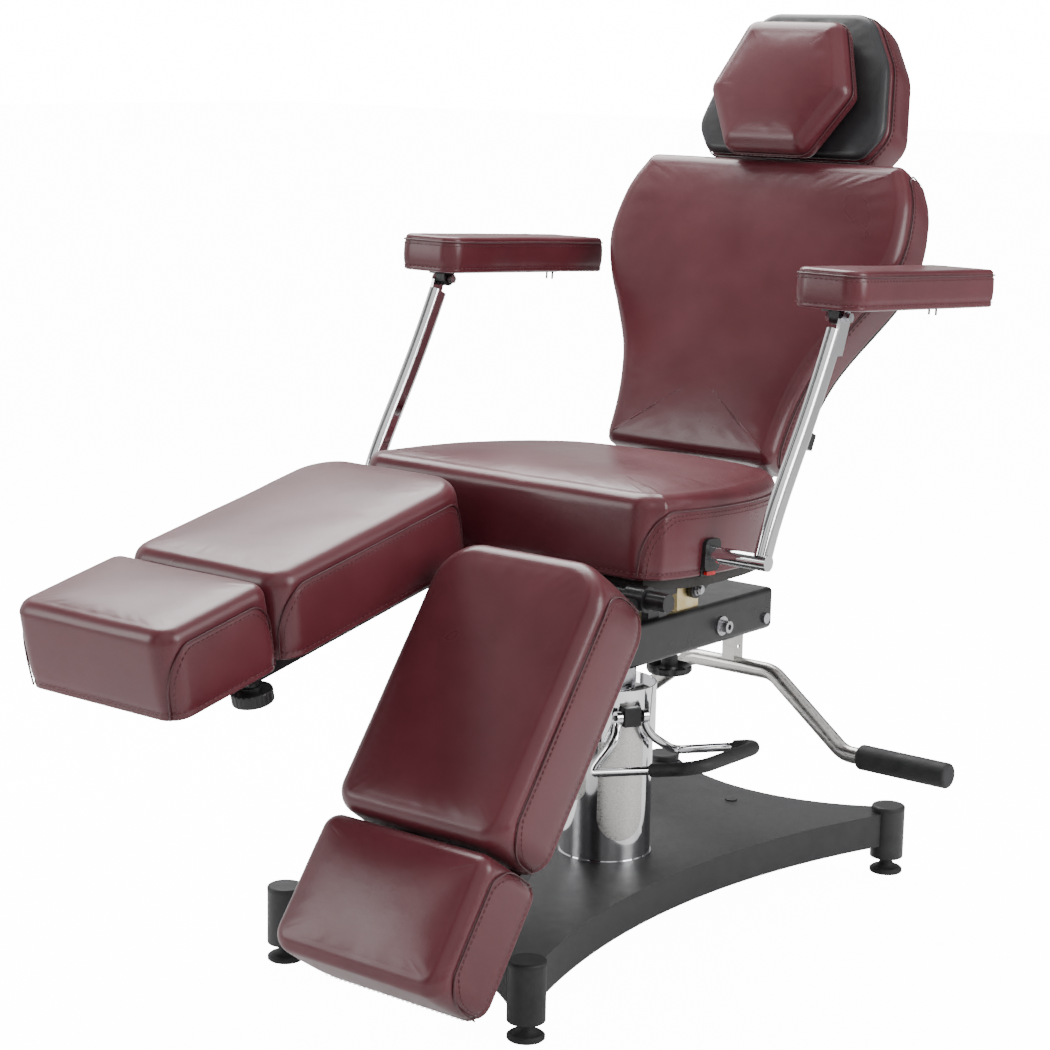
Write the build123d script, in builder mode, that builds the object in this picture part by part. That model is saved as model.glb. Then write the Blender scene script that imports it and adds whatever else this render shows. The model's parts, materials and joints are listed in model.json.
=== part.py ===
from build123d import *
import os
from math import sin, cos, radians

# Hydraulic client chair with split leg rests.
# Millimetres. +Z up, the sitter faces -Y, +X is the sitter's left.
os.makedirs("parts", exist_ok=True)

# ---------------------------------------------------------------- driving sizes
# Sizes are given about the pump axis; CENTRE_Y then puts the whole chair's
# footprint centre on the origin.
CENTRE_Y = 144.46
POST_X, POST_Y, POST_R = 213.0, 442.5, 25.4
POST_BOTTOM, POST_TOP, CAP_TOP = 24.0, 100.0, 106.5
PLATE_TOP, SKIRT_BOTTOM, WALL = 96.0, 45.0, 4.0
SIDE_WAIST, END_WAIST = 141.0, 392.0
FOOT_STUD_R, FOOT_BORE_R = 5.95, 6.0
PUMP_R, PUMP_TOP = 66.2, 336.0
TONGUE_R0, TONGUE_R1 = 66.3, 67.6
SHROUD_R0, SHROUD_R1, SHROUD_BOTTOM, SHROUD_TOP = 68.0, 69.8, 277.0, 350.0
PISTON_R = 25.0
BLOCK_TURN = -28.0
PEDAL_Z, PEDAL_RISE = 316.0, 13.4
FRAME_X, FRAME_BOTTOM, FRAME_TOP = 57.0, 378.0, 442.0
FRAME_FRONT, FRAME_REAR = -215.0, 336.0
SEAT_PIVOT_Y, SEAT_PIVOT_Z = 135.0, 471.0
SEAT_TILT = 3.5
SEAT_Z0 = 556.0
SEAT_THICK = 112.0
AXLE_Y, AXLE_Z, AXLE_R = -256.0, 549.0, 12.5
LEG_DROP = {"r": 12.1, "l": 54.6}
PAD_IN, PAD_OUT, PAD_LOW, PAD_THICK = 9.0, 286.0, 24.0, 115.0
LEG_S0, LEG_S1, FOOT_S0, FOOT_S1 = 12.0, 394.0, 401.0, 586.0
RAIL_X = (57.5, 237.5)
KNOB_S = 418.0
ARM_X, ARM_PIVOT_Y, ARM_PIVOT_Z = 346.0, -138.0, 594.0
PAD_PIVOT_Y, PAD_PIVOT_Z = 28.0, 900.0
ARMPAD_TILT = 3.0
RECLINE = 26.0
BACK_Y, BACK_Z = 171.6, 677.3
BACK_THICK, BACK_BOARD = 80.0, 15.0
BACK_PIVOT_Y, BACK_PIVOT_Z = 205.0, 612.0
HEAD_LEAN = 22.9
HEAD_Y, HEAD_Z = 397.0, 1089.0
POST_S, POST_H = 520.0, -129.0

# ---------------------------------------------------------------- frames of reference
ct, st = cos(radians(SEAT_TILT)), sin(radians(SEAT_TILT))
SEAT = Plane(origin=(0, 0, SEAT_Z0), x_dir=(1, 0, 0), z_dir=(0, st, ct))
cb, sb = cos(radians(RECLINE)), sin(radians(RECLINE))
# local x across, local y up the back rest, local z out of its front face
BACK = Plane(origin=(0, BACK_Y, BACK_Z), x_dir=(1, 0, 0), z_dir=(0, -cb, sb))
chd, shd = cos(radians(HEAD_LEAN)), sin(radians(HEAD_LEAN))
HEAD = Plane(origin=(0, HEAD_Y, HEAD_Z), x_dir=(1, 0, 0), z_dir=(0, -chd, shd))
SIDE = Plane(origin=(0, 0, 0), x_dir=(0, 1, 0), z_dir=(1, 0, 0))  # local x = Y, local y = Z


def side_plane(x):
    return Plane(origin=(x, 0, 0), x_dir=(0, 1, 0), z_dir=(1, 0, 0))


def back_point(s, h):
    return (BACK_Y + s * sb - h * cb, BACK_Z + s * cb + h * sb)


def leg_plane(tag):
    a = radians(LEG_DROP[tag])
    return Plane(origin=(0, AXLE_Y, AXLE_Z), x_dir=(1, 0, 0), z_dir=(0, -sin(a), cos(a)))


def soften(builder, edges, *radii):
    # largest of the given radii that the edge loop accepts
    for r in radii:
        try:
            fillet(edges, r)
            return
        except ValueError:
            continue


def save(part, name):
    placed = part.moved(Location((0, CENTRE_Y, 0)))
    placed.label = name
    export_step(placed, "parts/" + name + ".step")


# ================================================================ BASE
# Pressed steel base: concave sides, open underneath, a hole near each end.
with BuildPart() as base_plate:
    with BuildSketch(Plane.XY.offset(SKIRT_BOTTOM)) as base_outline:
        with BuildLine():
            ThreePointArc((218, -425), (SIDE_WAIST, 0), (218, 425))
            Polyline((218, 425), (213, 442.5), (190, 455))
            ThreePointArc((190, 455), (0, END_WAIST), (-190, 455))
            Polyline((-190, 455), (-213, 442.5), (-218, 425))
            ThreePointArc((-218, 425), (-SIDE_WAIST, 0), (-218, -425))
            Polyline((-218, -425), (-213, -442.5), (-190, -455))
            ThreePointArc((-190, -455), (0, -END_WAIST), (190, -455))
            Polyline((190, -455), (213, -442.5), (218, -425))
        make_face()
    extrude(amount=PLATE_TOP - SKIRT_BOTTOM)
    with BuildSketch(Plane.XY.offset(SKIRT_BOTTOM)):
        with BuildLine():
            ThreePointArc((213, -423), (SIDE_WAIST - WALL, 0), (213, 423))
            Polyline((213, 423), (208, 437), (189, 450))
            ThreePointArc((189, 450), (0, END_WAIST - WALL), (-189, 450))
            Polyline((-189, 450), (-208, 437), (-213, 423))
            ThreePointArc((-213, 423), (-SIDE_WAIST + WALL, 0), (-213, -423))
            Polyline((-213, -423), (-208, -437), (-189, -450))
            ThreePointArc((-189, -450), (0, -END_WAIST + WALL), (189, -450))
            Polyline((189, -450), (208, -437), (213, -423))
        make_face()
    extrude(amount=PLATE_TOP - SKIRT_BOTTOM - WALL, mode=Mode.SUBTRACT)
    # stiffening ribs under the plate
    with BuildSketch(Plane.XY.offset(60)):
        with Locations((-110, 0), (-40, 0), (40, 0), (110, 0)):
            Rectangle(4, 780)
    extrude(amount=PLATE_TOP - 60 - 2)
    with BuildSketch(Plane.XY.offset(SKIRT_BOTTOM - 5)):
        with GridLocations(2 * POST_X, 2 * POST_Y, 2, 2):
            Circle(POST_R + 0.02)
    extrude(amount=80, mode=Mode.SUBTRACT)
    with BuildSketch(Plane.XY.offset(SKIRT_BOTTOM)):
        with Locations((0, -327), (0, 327)):
            Circle(7.05)
    extrude(amount=80, mode=Mode.SUBTRACT)
save(base_plate.part, "base_plate")

# Plugs in the two holes of the plate.
with BuildPart() as base_plugs:
    with BuildSketch(Plane.XY.offset(PLATE_TOP - 8)):
        with Locations((0, -327), (0, 327)):
            Circle(7.0)
    extrude(amount=8)
    with BuildSketch(Plane.XY.offset(PLATE_TOP)):
        with Locations((0, -327), (0, 327)):
            Circle(9.5)
    extrude(amount=2.2)
    fillet(base_plugs.edges().group_by(Axis.Z)[-1], 1.0)

# Four round corner posts with a threaded bore from below.
with BuildPart() as corner_posts:
    with BuildSketch(Plane.XY.offset(POST_BOTTOM)):
        with GridLocations(2 * POST_X, 2 * POST_Y, 2, 2):
            Circle(POST_R)
    extrude(amount=POST_TOP - POST_BOTTOM)
    fillet(corner_posts.edges().group_by(Axis.Z)[0], 2.0)
    with BuildSketch(Plane.XY.offset(POST_BOTTOM - 1)):
        with GridLocations(2 * POST_X, 2 * POST_Y, 2, 2):
            Circle(FOOT_BORE_R)
    extrude(amount=56, mode=Mode.SUBTRACT)
save(corner_posts.part, "corner_posts")

# Soft cap on every post.
with BuildPart() as post_caps:
    with BuildSketch(Plane.XY.offset(POST_TOP)):
        with GridLocations(2 * POST_X, 2 * POST_Y, 2, 2):
            Circle(POST_R + 0.3)
    extrude(amount=CAP_TOP - POST_TOP)
    fillet(post_caps.edges().group_by(Axis.Z)[-1], 3.5)
    add(base_plugs.part)
save(post_caps.part, "base_caps")

# Levelling feet: round sole, waisted neck, threaded stud.
for foot_name, fx, fy in (("foot_fl", 1, -1), ("foot_fr", -1, -1), ("foot_rl", 1, 1), ("foot_rr", -1, 1)):
    with BuildPart() as level_foot:
        with BuildSketch(Plane(origin=(fx * POST_X, fy * POST_Y, 0), x_dir=(1, 0, 0), z_dir=(0, -1, 0))):
            with BuildLine():
                Polyline((0, 0), (23.5, 0), (25, 1.5), (25, 5.5), (22, 8))
                Spline((22, 8), (14, 11), (9.6, 17))
                Polyline((9.6, 17), (9.6, 23.6), (FOOT_STUD_R, 23.6), (FOOT_STUD_R, 74), (0, 74), (0, 0))
            make_face()
        revolve(axis=Axis((fx * POST_X, fy * POST_Y, 0), (0, 0, 1)))
    save(level_foot.part, foot_name)

# ================================================================ HYDRAULIC PUMP
with BuildPart() as pump_cylinder:
    with BuildSketch(Plane.XY.offset(PLATE_TOP)):
        Circle(PUMP_R + 2.2)
    extrude(amount=3)
    with BuildSketch(Plane.XY.offset(PLATE_TOP)):
        Circle(PUMP_R)
    extrude(amount=PUMP_TOP - PLATE_TOP)
    with BuildSketch(Plane.XY.offset(PLATE_TOP + 6)):
        Circle(PUMP_R - 3.2)
    extrude(amount=PUMP_TOP - PLATE_TOP - 12, mode=Mode.SUBTRACT)
    with BuildSketch(Plane.XY.offset(PUMP_TOP - 8)):
        Circle(PISTON_R + 0.06)
    extrude(amount=20, mode=Mode.SUBTRACT)
save(pump_cylinder.part, "pump_cylinder")

# Ram barrel inside the pump.
with BuildPart() as ram_barrel:
    with BuildSketch(Plane.XY.offset(PLATE_TOP + 6)):
        Circle(36)
    extrude(amount=PUMP_TOP - 6 - PLATE_TOP - 6)
    with BuildSketch(Plane.XY.offset(PLATE_TOP + 14)):
        Circle(PISTON_R + 0.06)
    extrude(amount=300, mode=Mode.SUBTRACT)
save(ram_barrel.part, "ram_barrel")

# Curved slot guards lying on the pump: a long tongue and a short one.
with BuildPart() as tongue_guards:
    with BuildSketch(Plane.XY.offset(130)):
        Circle(TONGUE_R1)
        Circle(TONGUE_R0, mode=Mode.SUBTRACT)
    extrude(amount=PUMP_TOP - 130)
    a1 = radians(-33)
    a2 = radians(-96)
    with BuildSketch(Plane(origin=(0, 0, 0), x_dir=(-sin(a1), cos(a1), 0), z_dir=(cos(a1), sin(a1), 0))):
        with Locations((0, 163.5)):
            Circle(33.5)
        with Locations((0, 163.5 + 100)):
            Rectangle(67, 200)
    tongue_long = extrude(amount=80, mode=Mode.PRIVATE)
    with BuildSketch(Plane(origin=(0, 0, 0), x_dir=(-sin(a2), cos(a2), 0), z_dir=(cos(a2), sin(a2), 0))):
        with Locations((0, 205)):
            Circle(20)
        with Locations((0, 205 + 80)):
            Rectangle(40, 160)
    tongue_short = extrude(amount=80, mode=Mode.PRIVATE)
    add(tongue_long + tongue_short, mode=Mode.INTERSECT)
save(tongue_guards.part, "tongue_guards")

# Pedal block on the pump wall with the pin the pedal turns on.
ab = radians(BLOCK_TURN)
RAD = (cos(ab), sin(ab), 0)
TAN = (-sin(ab), cos(ab), 0)
PIN_RAD = 79.0
EYE_T = 20.5
BLOCK = Plane(origin=(PIN_RAD * RAD[0], PIN_RAD * RAD[1], PEDAL_Z), x_dir=TAN, z_dir=RAD)
with BuildPart() as pedal_block:
    with BuildSketch(BLOCK.offset(-16)):
        Rectangle(26, 28)
    extrude(amount=22)
    fillet(pedal_block.edges().filter_by(lambda e: e.length > 10), 1.5)
    with BuildSketch(Plane.XY.offset(290)):
        Circle(TONGUE_R1 + 0.03)
    extrude(amount=50, mode=Mode.SUBTRACT)
    with BuildSketch(Plane(origin=(PIN_RAD * RAD[0], PIN_RAD * RAD[1], PEDAL_Z), x_dir=RAD, z_dir=TAN).offset(-26.5)):
        Circle(4.0)
    extrude(amount=53)
save(pedal_block.part, "pedal_block")

# Pedal: one bent rod from eye to eye, its outer loop tilted up.
ar = radians(PEDAL_RISE)
PEDAL = Plane(origin=(40, 0, 238.5), x_dir=(cos(ar), 0, sin(ar)), z_dir=(-sin(ar), 0, cos(ar)))
EYE_N = (PIN_RAD * RAD[0] - EYE_T * TAN[0], PIN_RAD * RAD[1] - EYE_T * TAN[1], PEDAL_Z)
EYE_F = (PIN_RAD * RAD[0] + EYE_T * TAN[0], PIN_RAD * RAD[1] + EYE_T * TAN[1], PEDAL_Z)
LOOP_Y0, LOOP_Y1, LOOP_U = -88.0, 66.0, 187.0


def pedal_point(u, v):
    return (40 + u * cos(ar), v, 238.5 + u * sin(ar))


with BuildPart() as pedal_rod:
    with BuildLine() as rod_path:
        n0 = Spline((EYE_N[0], EYE_N[1], EYE_N[2] - 8), (EYE_N[0] + 4, EYE_N[1] - 18, EYE_N[2] - 34),
                    pedal_point(12, LOOP_Y0),
                    tangents=((0.05, -0.35, -1), (cos(ar), 0, sin(ar))))
        n1 = Line(n0 @ 1, pedal_point(LOOP_U - 30, LOOP_Y0))
        n2 = ThreePointArc(pedal_point(LOOP_U - 30, LOOP_Y0), pedal_point(LOOP_U - 8.8, LOOP_Y0 + 8.8),
                           pedal_point(LOOP_U, LOOP_Y0 + 30))
        n3 = Line(n2 @ 1, pedal_point(LOOP_U, LOOP_Y1 - 30))
        n4 = ThreePointArc(pedal_point(LOOP_U, LOOP_Y1 - 30), pedal_point(LOOP_U - 8.8, LOOP_Y1 - 8.8),
                           pedal_point(LOOP_U - 30, LOOP_Y1))
        n5 = Line(n4 @ 1, pedal_point(48, LOOP_Y1))
        n6 = Spline(pedal_point(48, LOOP_Y1), (EYE_F[0] + 6, EYE_F[1] + 36, EYE_F[2] - 46),
                    (EYE_F[0], EYE_F[1], EYE_F[2] - 8),
                    tangents=((-cos(ar), 0, -sin(ar)), (-0.05, -0.35, 1)))
    with BuildSketch(Plane(origin=n0 @ 0, z_dir=n0 % 0)):
        Circle(6.3)
    sweep(path=rod_path.wire(), transition=Transition.RIGHT)
    with BuildSketch(Plane(origin=(PIN_RAD * RAD[0], PIN_RAD * RAD[1], PEDAL_Z), x_dir=RAD, z_dir=TAN).offset(-24.5)):
        Circle(9)
    extrude(amount=8)
    with BuildSketch(Plane(origin=(PIN_RAD * RAD[0], PIN_RAD * RAD[1], PEDAL_Z), x_dir=RAD, z_dir=TAN).offset(16.5)):
        Circle(9)
    extrude(amount=8)
    with BuildSketch(Plane(origin=(PIN_RAD * RAD[0], PIN_RAD * RAD[1], PEDAL_Z), x_dir=RAD, z_dir=TAN).offset(-30)):
        Circle(4.06)
    extrude(amount=60, mode=Mode.SUBTRACT)
save(pedal_rod.part, "pedal_rod")

# Rubber sleeve over the outer loop of the pedal.
with BuildPart() as pedal_sleeve:
    with BuildLine() as sleeve_path:
        m1 = Line(pedal_point(108, LOOP_Y0), pedal_point(LOOP_U - 30, LOOP_Y0))
        m2 = ThreePointArc(pedal_point(LOOP_U - 30, LOOP_Y0), pedal_point(LOOP_U - 8.8, LOOP_Y0 + 8.8),
                           pedal_point(LOOP_U, LOOP_Y0 + 30))
        m3 = Line(m2 @ 1, pedal_point(LOOP_U, LOOP_Y1 - 30))
        m4 = ThreePointArc(pedal_point(LOOP_U, LOOP_Y1 - 30), pedal_point(LOOP_U - 8.8, LOOP_Y1 - 8.8),
                           pedal_point(LOOP_U - 30, LOOP_Y1))
        m5 = Line(m4 @ 1, pedal_point(142, LOOP_Y1))
    with BuildSketch(Plane(origin=m1 @ 0, z_dir=m1 % 0)):
        Circle(9.6)
        Circle(6.35, mode=Mode.SUBTRACT)
    sweep(path=sleeve_path.wire())
save(pedal_sleeve.part, "pedal_sleeve")

# ================================================================ LIFTING COLUMN
with BuildPart() as piston_rod:
    with BuildSketch(Plane.XY.offset(112)):
        Circle(PISTON_R)
    extrude(amount=430 - 112)
    with BuildSketch(Plane.XY.offset(343)):
        Circle(38)
    extrude(amount=8)
save(piston_rod.part, "piston_rod")

# Chrome shroud that rises with the piston; a flared notch clears the pedal block.
with BuildPart() as pump_shroud:
    with BuildSketch(Plane.XY.offset(SHROUD_BOTTOM)):
        Circle(SHROUD_R1)
        Circle(SHROUD_R0, mode=Mode.SUBTRACT)
    extrude(amount=SHROUD_TOP - SHROUD_BOTTOM)
    with BuildSketch(Plane.XY.offset(338.5)):
        Circle(SHROUD_R0 + 0.5)
        Circle(PISTON_R + 0.02, mode=Mode.SUBTRACT)
    extrude(amount=3.5)
    with BuildSketch(Plane(origin=(0, 0, 0), x_dir=TAN, z_dir=RAD).offset(40)):
        with BuildLine():
            Polyline((-24, 270), (24, 270), (24, 277), (17, 292), (16, 300), (16, 326), (12, 333), (-12, 333),
                     (-16, 326), (-16, 300), (-17, 292), (-24, 277), (-24, 270))
        make_face()
    extrude(amount=60, mode=Mode.SUBTRACT)
save(pump_shroud.part, "pump_shroud")

# ================================================================ SWIVELLING CARRIER
with BuildPart() as carrier_frame:
    with BuildSketch(Plane.XY.offset(FRAME_BOTTOM)):
        with Locations((0, (FRAME_FRONT + FRAME_REAR) / 2)):
            Rectangle(2 * FRAME_X, FRAME_REAR - FRAME_FRONT)
    extrude(amount=FRAME_TOP - FRAME_BOTTOM)
    fillet(carrier_frame.edges().filter_by(Axis.Y).group_by(Axis.Z)[-1], 7)
    fillet(carrier_frame.edges().filter_by(Axis.X).group_by(Axis.Z)[-1], 5)
    fillet(carrier_frame.edges().filter_by(Axis.X).group_by(Axis.Z)[0], 9)
    # open channel underneath, open at the rear end
    with BuildSketch(Plane.XY.offset(FRAME_BOTTOM - 1)):
        with Locations((0, (FRAME_FRONT + 4 + FRAME_REAR + 20) / 2)):
            Rectangle(2 * FRAME_X - 8, FRAME_REAR + 20 - FRAME_FRONT - 4)
    extrude(amount=FRAME_TOP - FRAME_BOTTOM - 4, mode=Mode.SUBTRACT)
    # cross tube that the side bolts screw into
    with BuildSketch(side_plane(-FRAME_X + 3)):
        with Locations((200, 405)):
            Circle(12)
    extrude(amount=2 * FRAME_X - 6)
    # bridge plate that carries the swivel brake
    with BuildSketch(Plane.XY.offset(383)):
        with Locations((0, 150)):
            Rectangle(2 * FRAME_X - 6, 44)
    extrude(amount=7)
    with BuildSketch(Plane.XY.offset(370)):
        with Locations((0, 150)):
            Circle(6.0)
    extrude(amount=30, mode=Mode.SUBTRACT)
    with BuildSketch(side_plane(-80)):
        with Locations((200, 405)):
            Circle(6.05)
        with Locations((316, 397)):
            Circle(5.02)
    extrude(amount=160, mode=Mode.SUBTRACT)
save(carrier_frame.part, "carrier_frame")

# Bearing hub welded under the channel's top plate.
with BuildPart() as swivel_hub:
    with BuildSketch(Plane.XY.offset(352.5)):
        Circle(40)
    extrude(amount=FRAME_TOP - 5 - 352.5)
    with BuildSketch(Plane.XY.offset(350)):
        Circle(PISTON_R + 0.06)
    extrude(amount=FRAME_TOP - 350 - 8, mode=Mode.SUBTRACT)
save(swivel_hub.part, "swivel_hub")

# Socket-head bolts with broad washers, one in each side of the channel.
with BuildPart() as frame_bolts:
    for sgn in (1, -1):
        with BuildSketch(Plane(origin=(sgn * (FRAME_X + 0.02), 200, 405), x_dir=(0, 1, 0), z_dir=(sgn, 0, 0))):
            Circle(14.5)
        extrude(amount=2.6)
        with BuildSketch(Plane(origin=(sgn * (FRAME_X + 2.6), 200, 405), x_dir=(0, 1, 0), z_dir=(sgn, 0, 0))):
            Circle(9)
        extrude(amount=12)
        with BuildSketch(Plane(origin=(sgn * 14, 200, 405), x_dir=(0, 1, 0), z_dir=(sgn, 0, 0))):
            Circle(6.0)
        extrude(amount=FRAME_X - 12)
        with BuildSketch(Plane(origin=(sgn * (FRAME_X + 7), 200, 405), x_dir=(0, 1, 0), z_dir=(sgn, 0, 0))):
            RegularPolygon(5, 6)
        extrude(amount=12, mode=Mode.SUBTRACT)

# Two bars lying on the channel, which the seat frame comes down over.
with BuildPart() as rest_bars:
    for sgn in (1, -1):
        with BuildSketch(Plane.XY.offset(470)):
            with Locations((sgn * 42, -51.5)):
                Rectangle(16, 287)
        extrude(amount=20)
        with BuildSketch(Plane.XY.offset(FRAME_TOP)):
            with Locations((sgn * 42, -170), (sgn * 42, 40)):
                Rectangle(12, 26)
        extrude(amount=30.5)
save(rest_bars.part, "rest_bars")

# Plated hinge blocks for the seat.
with BuildPart() as hinge_blocks:
    for sgn in (1, -1):
        with BuildSketch(side_plane(sgn * 40 - 8)):
            with BuildLine():
                Polyline((97, FRAME_TOP), (150, FRAME_TOP), (150, 476), (143, 488), (97, 488), (97, FRAME_TOP))
            make_face()
        extrude(amount=16)
    with BuildSketch(side_plane(-80)):
        with Locations((SEAT_PIVOT_Y, SEAT_PIVOT_Z)):
            Circle(5.02)
    extrude(amount=160, mode=Mode.SUBTRACT)
save(hinge_blocks.part, "hinge_blocks")

with BuildPart() as seat_pivot_bolts:
    for sgn in (1, -1):
        with BuildSketch(Plane(origin=(sgn * 32, SEAT_PIVOT_Y, SEAT_PIVOT_Z), x_dir=(0, 1, 0), z_dir=(sgn, 0, 0))):
            Circle(5.0)
        extrude(amount=26)
        with BuildSketch(Plane(origin=(sgn * 56.2, SEAT_PIVOT_Y, SEAT_PIVOT_Z), x_dir=(0, 1, 0), z_dir=(sgn, 0, 0))):
            Circle(9.2)
        extrude(amount=1.8)
        with BuildSketch(Plane(origin=(sgn * 58, SEAT_PIVOT_Y, SEAT_PIVOT_Z), x_dir=(0, 1, 0), z_dir=(sgn, 0, 0))):
            RegularPolygon(8.2, 6)
        extrude(amount=5)
        with BuildSketch(Plane(origin=(sgn * 62, SEAT_PIVOT_Y, SEAT_PIVOT_Z), x_dir=(0, 1, 0), z_dir=(sgn, 0, 0))):
            Circle(5.0)
        extrude(amount=4)

# Handwheel of the swivel brake under the channel.
with BuildPart() as handwheel:
    with BuildSketch(Plane(origin=(0, 150, 0), x_dir=(1, 0, 0), z_dir=(0, -1, 0))):
        with BuildLine():
            Polyline((0, 333), (24, 333), (31, 334.5), (34, 338), (34, 344), (31, 345.5), (28, 343.5), (22, 339.5),
                     (14.5, 339.5), (12.8, 344), (12, 376), (5.96, 376), (5.96, 402), (0, 402), (0, 333))
        make_face()
    revolve(axis=Axis((0, 150, 0), (0, 0, 1)))
    with BuildSketch(Plane.XY.offset(330)):
        with Locations((0, 150)):
            with PolarLocations(39.5, 8):
                Circle(8.5)
    extrude(amount=20, mode=Mode.SUBTRACT)
save(handwheel.part, "handwheel")

# Release lever: gull-wing tube, folded bracket, foam grips.
with BuildPart() as lever_bar:
    with BuildLine(Plane(origin=(0, 316, 0), x_dir=(1, 0, 0), z_dir=(0, -1, 0))) as lever_path:
        FilletPolyline((-379, 214), (-206, 214), (-75, 316), (75, 316), (206, 214), (379, 214), radius=40)
    with BuildSketch(Plane(origin=(-379, 316, 214), z_dir=(1, 0, 0))):
        Circle(12.5)
    sweep(path=lever_path.wire())
save(lever_bar.part, "lever_bar")

with BuildPart() as lever_bracket:
    with BuildSketch(side_plane(-11)):
        with BuildLine():
            Polyline((304, 325), (328, 325), (328, 400), (322, 408), (310, 408), (304, 400), (304, 325))
        make_face()
    extrude(amount=22)
    with BuildSketch(side_plane(-8.5)):
        with Locations((320, 370)):
            Rectangle(27, 100)
    extrude(amount=17, mode=Mode.SUBTRACT)
    with BuildSketch(side_plane(-20)):
        with Locations((316, 345)):
            Circle(3)
        with Locations((316, 397)):
            Circle(5.05)
    extrude(amount=40, mode=Mode.SUBTRACT)
    with BuildSketch(side_plane(-20)):
        with Locations((316, 316)):
            Circle(12.55)
    extrude(amount=40, mode=Mode.SUBTRACT)
save(lever_bracket.part, "lever_bracket")

with BuildPart() as lever_grips:
    for sgn in (1, -1):
        with BuildSketch(Plane(origin=(sgn * 234, 316, 214), x_dir=(0, 1, 0), z_dir=(sgn, 0, 0))):
            Circle(19)
        extrude(amount=151)
    fillet(lever_grips.edges().filter_by(GeomType.CIRCLE), 5)
    for sgn in (1, -1):
        with BuildSketch(Plane(origin=(sgn * 225, 316, 214), x_dir=(0, 1, 0), z_dir=(sgn, 0, 0))):
            Circle(12.55)
        extrude(amount=154.2, mode=Mode.SUBTRACT)
save(lever_grips.part, "lever_grips")

with BuildPart() as lever_pin:
    with BuildSketch(side_plane(-FRAME_X - 4)):
        with Locations((316, 397)):
            Circle(5.0)
    extrude(amount=2 * FRAME_X + 8)
    with BuildSketch(side_plane(FRAME_X + 0.1)):
        with Locations((316, 397)):
            Circle(8)
    extrude(amount=4)
    with BuildSketch(side_plane(-FRAME_X - 4.1)):
        with Locations((316, 397)):
            Circle(8)
    extrude(amount=4)

with BuildPart() as carrier_bolts:
    add(frame_bolts.part)
    add(seat_pivot_bolts.part)
    add(lever_pin.part)
save(carrier_bolts.part, "carrier_bolts")

# ================================================================ SEAT
with BuildPart() as seat_rails:
    # two long rails below the board
    with BuildSketch(SEAT.offset(-40)):
        with Locations((104.5, -55.5), (-104.5, -55.5)):
            Rectangle(25, 401)
    extrude(amount=24.98)
    # welded axle that the leg rests turn on
    with BuildSketch(side_plane(-284)):
        with Locations((AXLE_Y, AXLE_Z)):
            Circle(AXLE_R)
    extrude(amount=568)
save(seat_rails.part, "seat_rails")

with BuildPart() as seat_crossbars:
    with BuildSketch(SEAT.offset(-40)):
        with Locations((0, -150), (0, 20)):
            Rectangle(183.9, 25)
        with Locations((0, 158)):
            Rectangle(203.9, 25)
    extrude(amount=24.98)
    # ears of the tilt hinge
    for sgn in (1, -1):
        with BuildSketch(side_plane(sgn * 53 - 3)):
            with BuildLine():
                Polyline((121, 471), (124, 492), (130, 506), (146, 506), (146, 520), (190, 520), (190, 500), (175, 478),
                         (147, 463), (135, 457), (125, 461), (121, 471))
            make_face()
        extrude(amount=6)
        with BuildSketch(side_plane(sgn * 53 - 3)):
            with Locations((SEAT_PIVOT_Y, SEAT_PIVOT_Z)):
                Circle(14)
        extrude(amount=6)
    with BuildSketch(side_plane(-80)):
        with Locations((SEAT_PIVOT_Y, SEAT_PIVOT_Z)):
            Circle(5.06)
    extrude(amount=160, mode=Mode.SUBTRACT)
save(seat_crossbars.part, "seat_crossbars")

# Upright plates that carry the back rest.
with BuildPart() as back_plates:
    for sgn in (1, -1):
        with BuildSketch(side_plane(sgn * 105 - 3)):
            with BuildLine():
                Polyline((146, 510), (196, 507), (219, 560), (222, 612), (188, 612), (178, 560), (160, 531), (146, 531),
                         (146, 510))
            make_face()
            with Locations((BACK_PIVOT_Y, BACK_PIVOT_Z)):
                Circle(17)
                Circle(6.02, mode=Mode.SUBTRACT)
        extrude(amount=6)
save(back_plates.part, "back_plates")


def seat_side(inset, sgn):
    pts = [(236, -262), (257, -236), (262, -190), (262, -120), (256, -60), (244, 0), (224, 60), (196, 112), (164, 150)]
    return [(sgn * (x - inset), q) for x, q in pts]


with BuildPart() as seat_board:
    with BuildSketch(SEAT.offset(-15)) as board_outline:
        with BuildLine():
            Line((228, -236), (-228, -236))
            Spline((-228, -236), (-250, -180), (-244, -60), (-212, 60), (-150, 146))
            Line((-150, 146), (150, 146))
            Spline((150, 146), (212, 60), (244, -60), (250, -180), (228, -236))
        make_face()
    extrude(amount=14.98)
save(seat_board.part, "seat_board")

with BuildPart() as seat_cushion:
    with BuildSketch(SEAT):
        with BuildLine():
            pr = seat_side(0, 1)
            pl = seat_side(0, -1)
            Line((-236, -262), (236, -262))
            Spline(*pr)
            Line(pr[-1], (150, 163))
            Line((150, 163), (-150, 163))
            Line((-150, 163), pl[-1])
            Spline(*pl[::-1])
        make_face()
        fillet(vertices().group_by(Axis.Y)[0], 12)
    extrude(amount=SEAT_THICK)
    soften(seat_cushion, seat_cushion.faces().filter_by(SEAT).sort_by(Axis.Z)[-1].edges(), 18, 12, 8, 5)
    # pockets for the arm sockets
    for sgn in (1, -1):
        with BuildSketch(SEAT.offset(-1)):
            with Locations((sgn * 226, -140)):
                Rectangle(96, 37)
        extrude(amount=48, mode=Mode.SUBTRACT)
save(seat_cushion.part, "seat_cushion")

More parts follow.
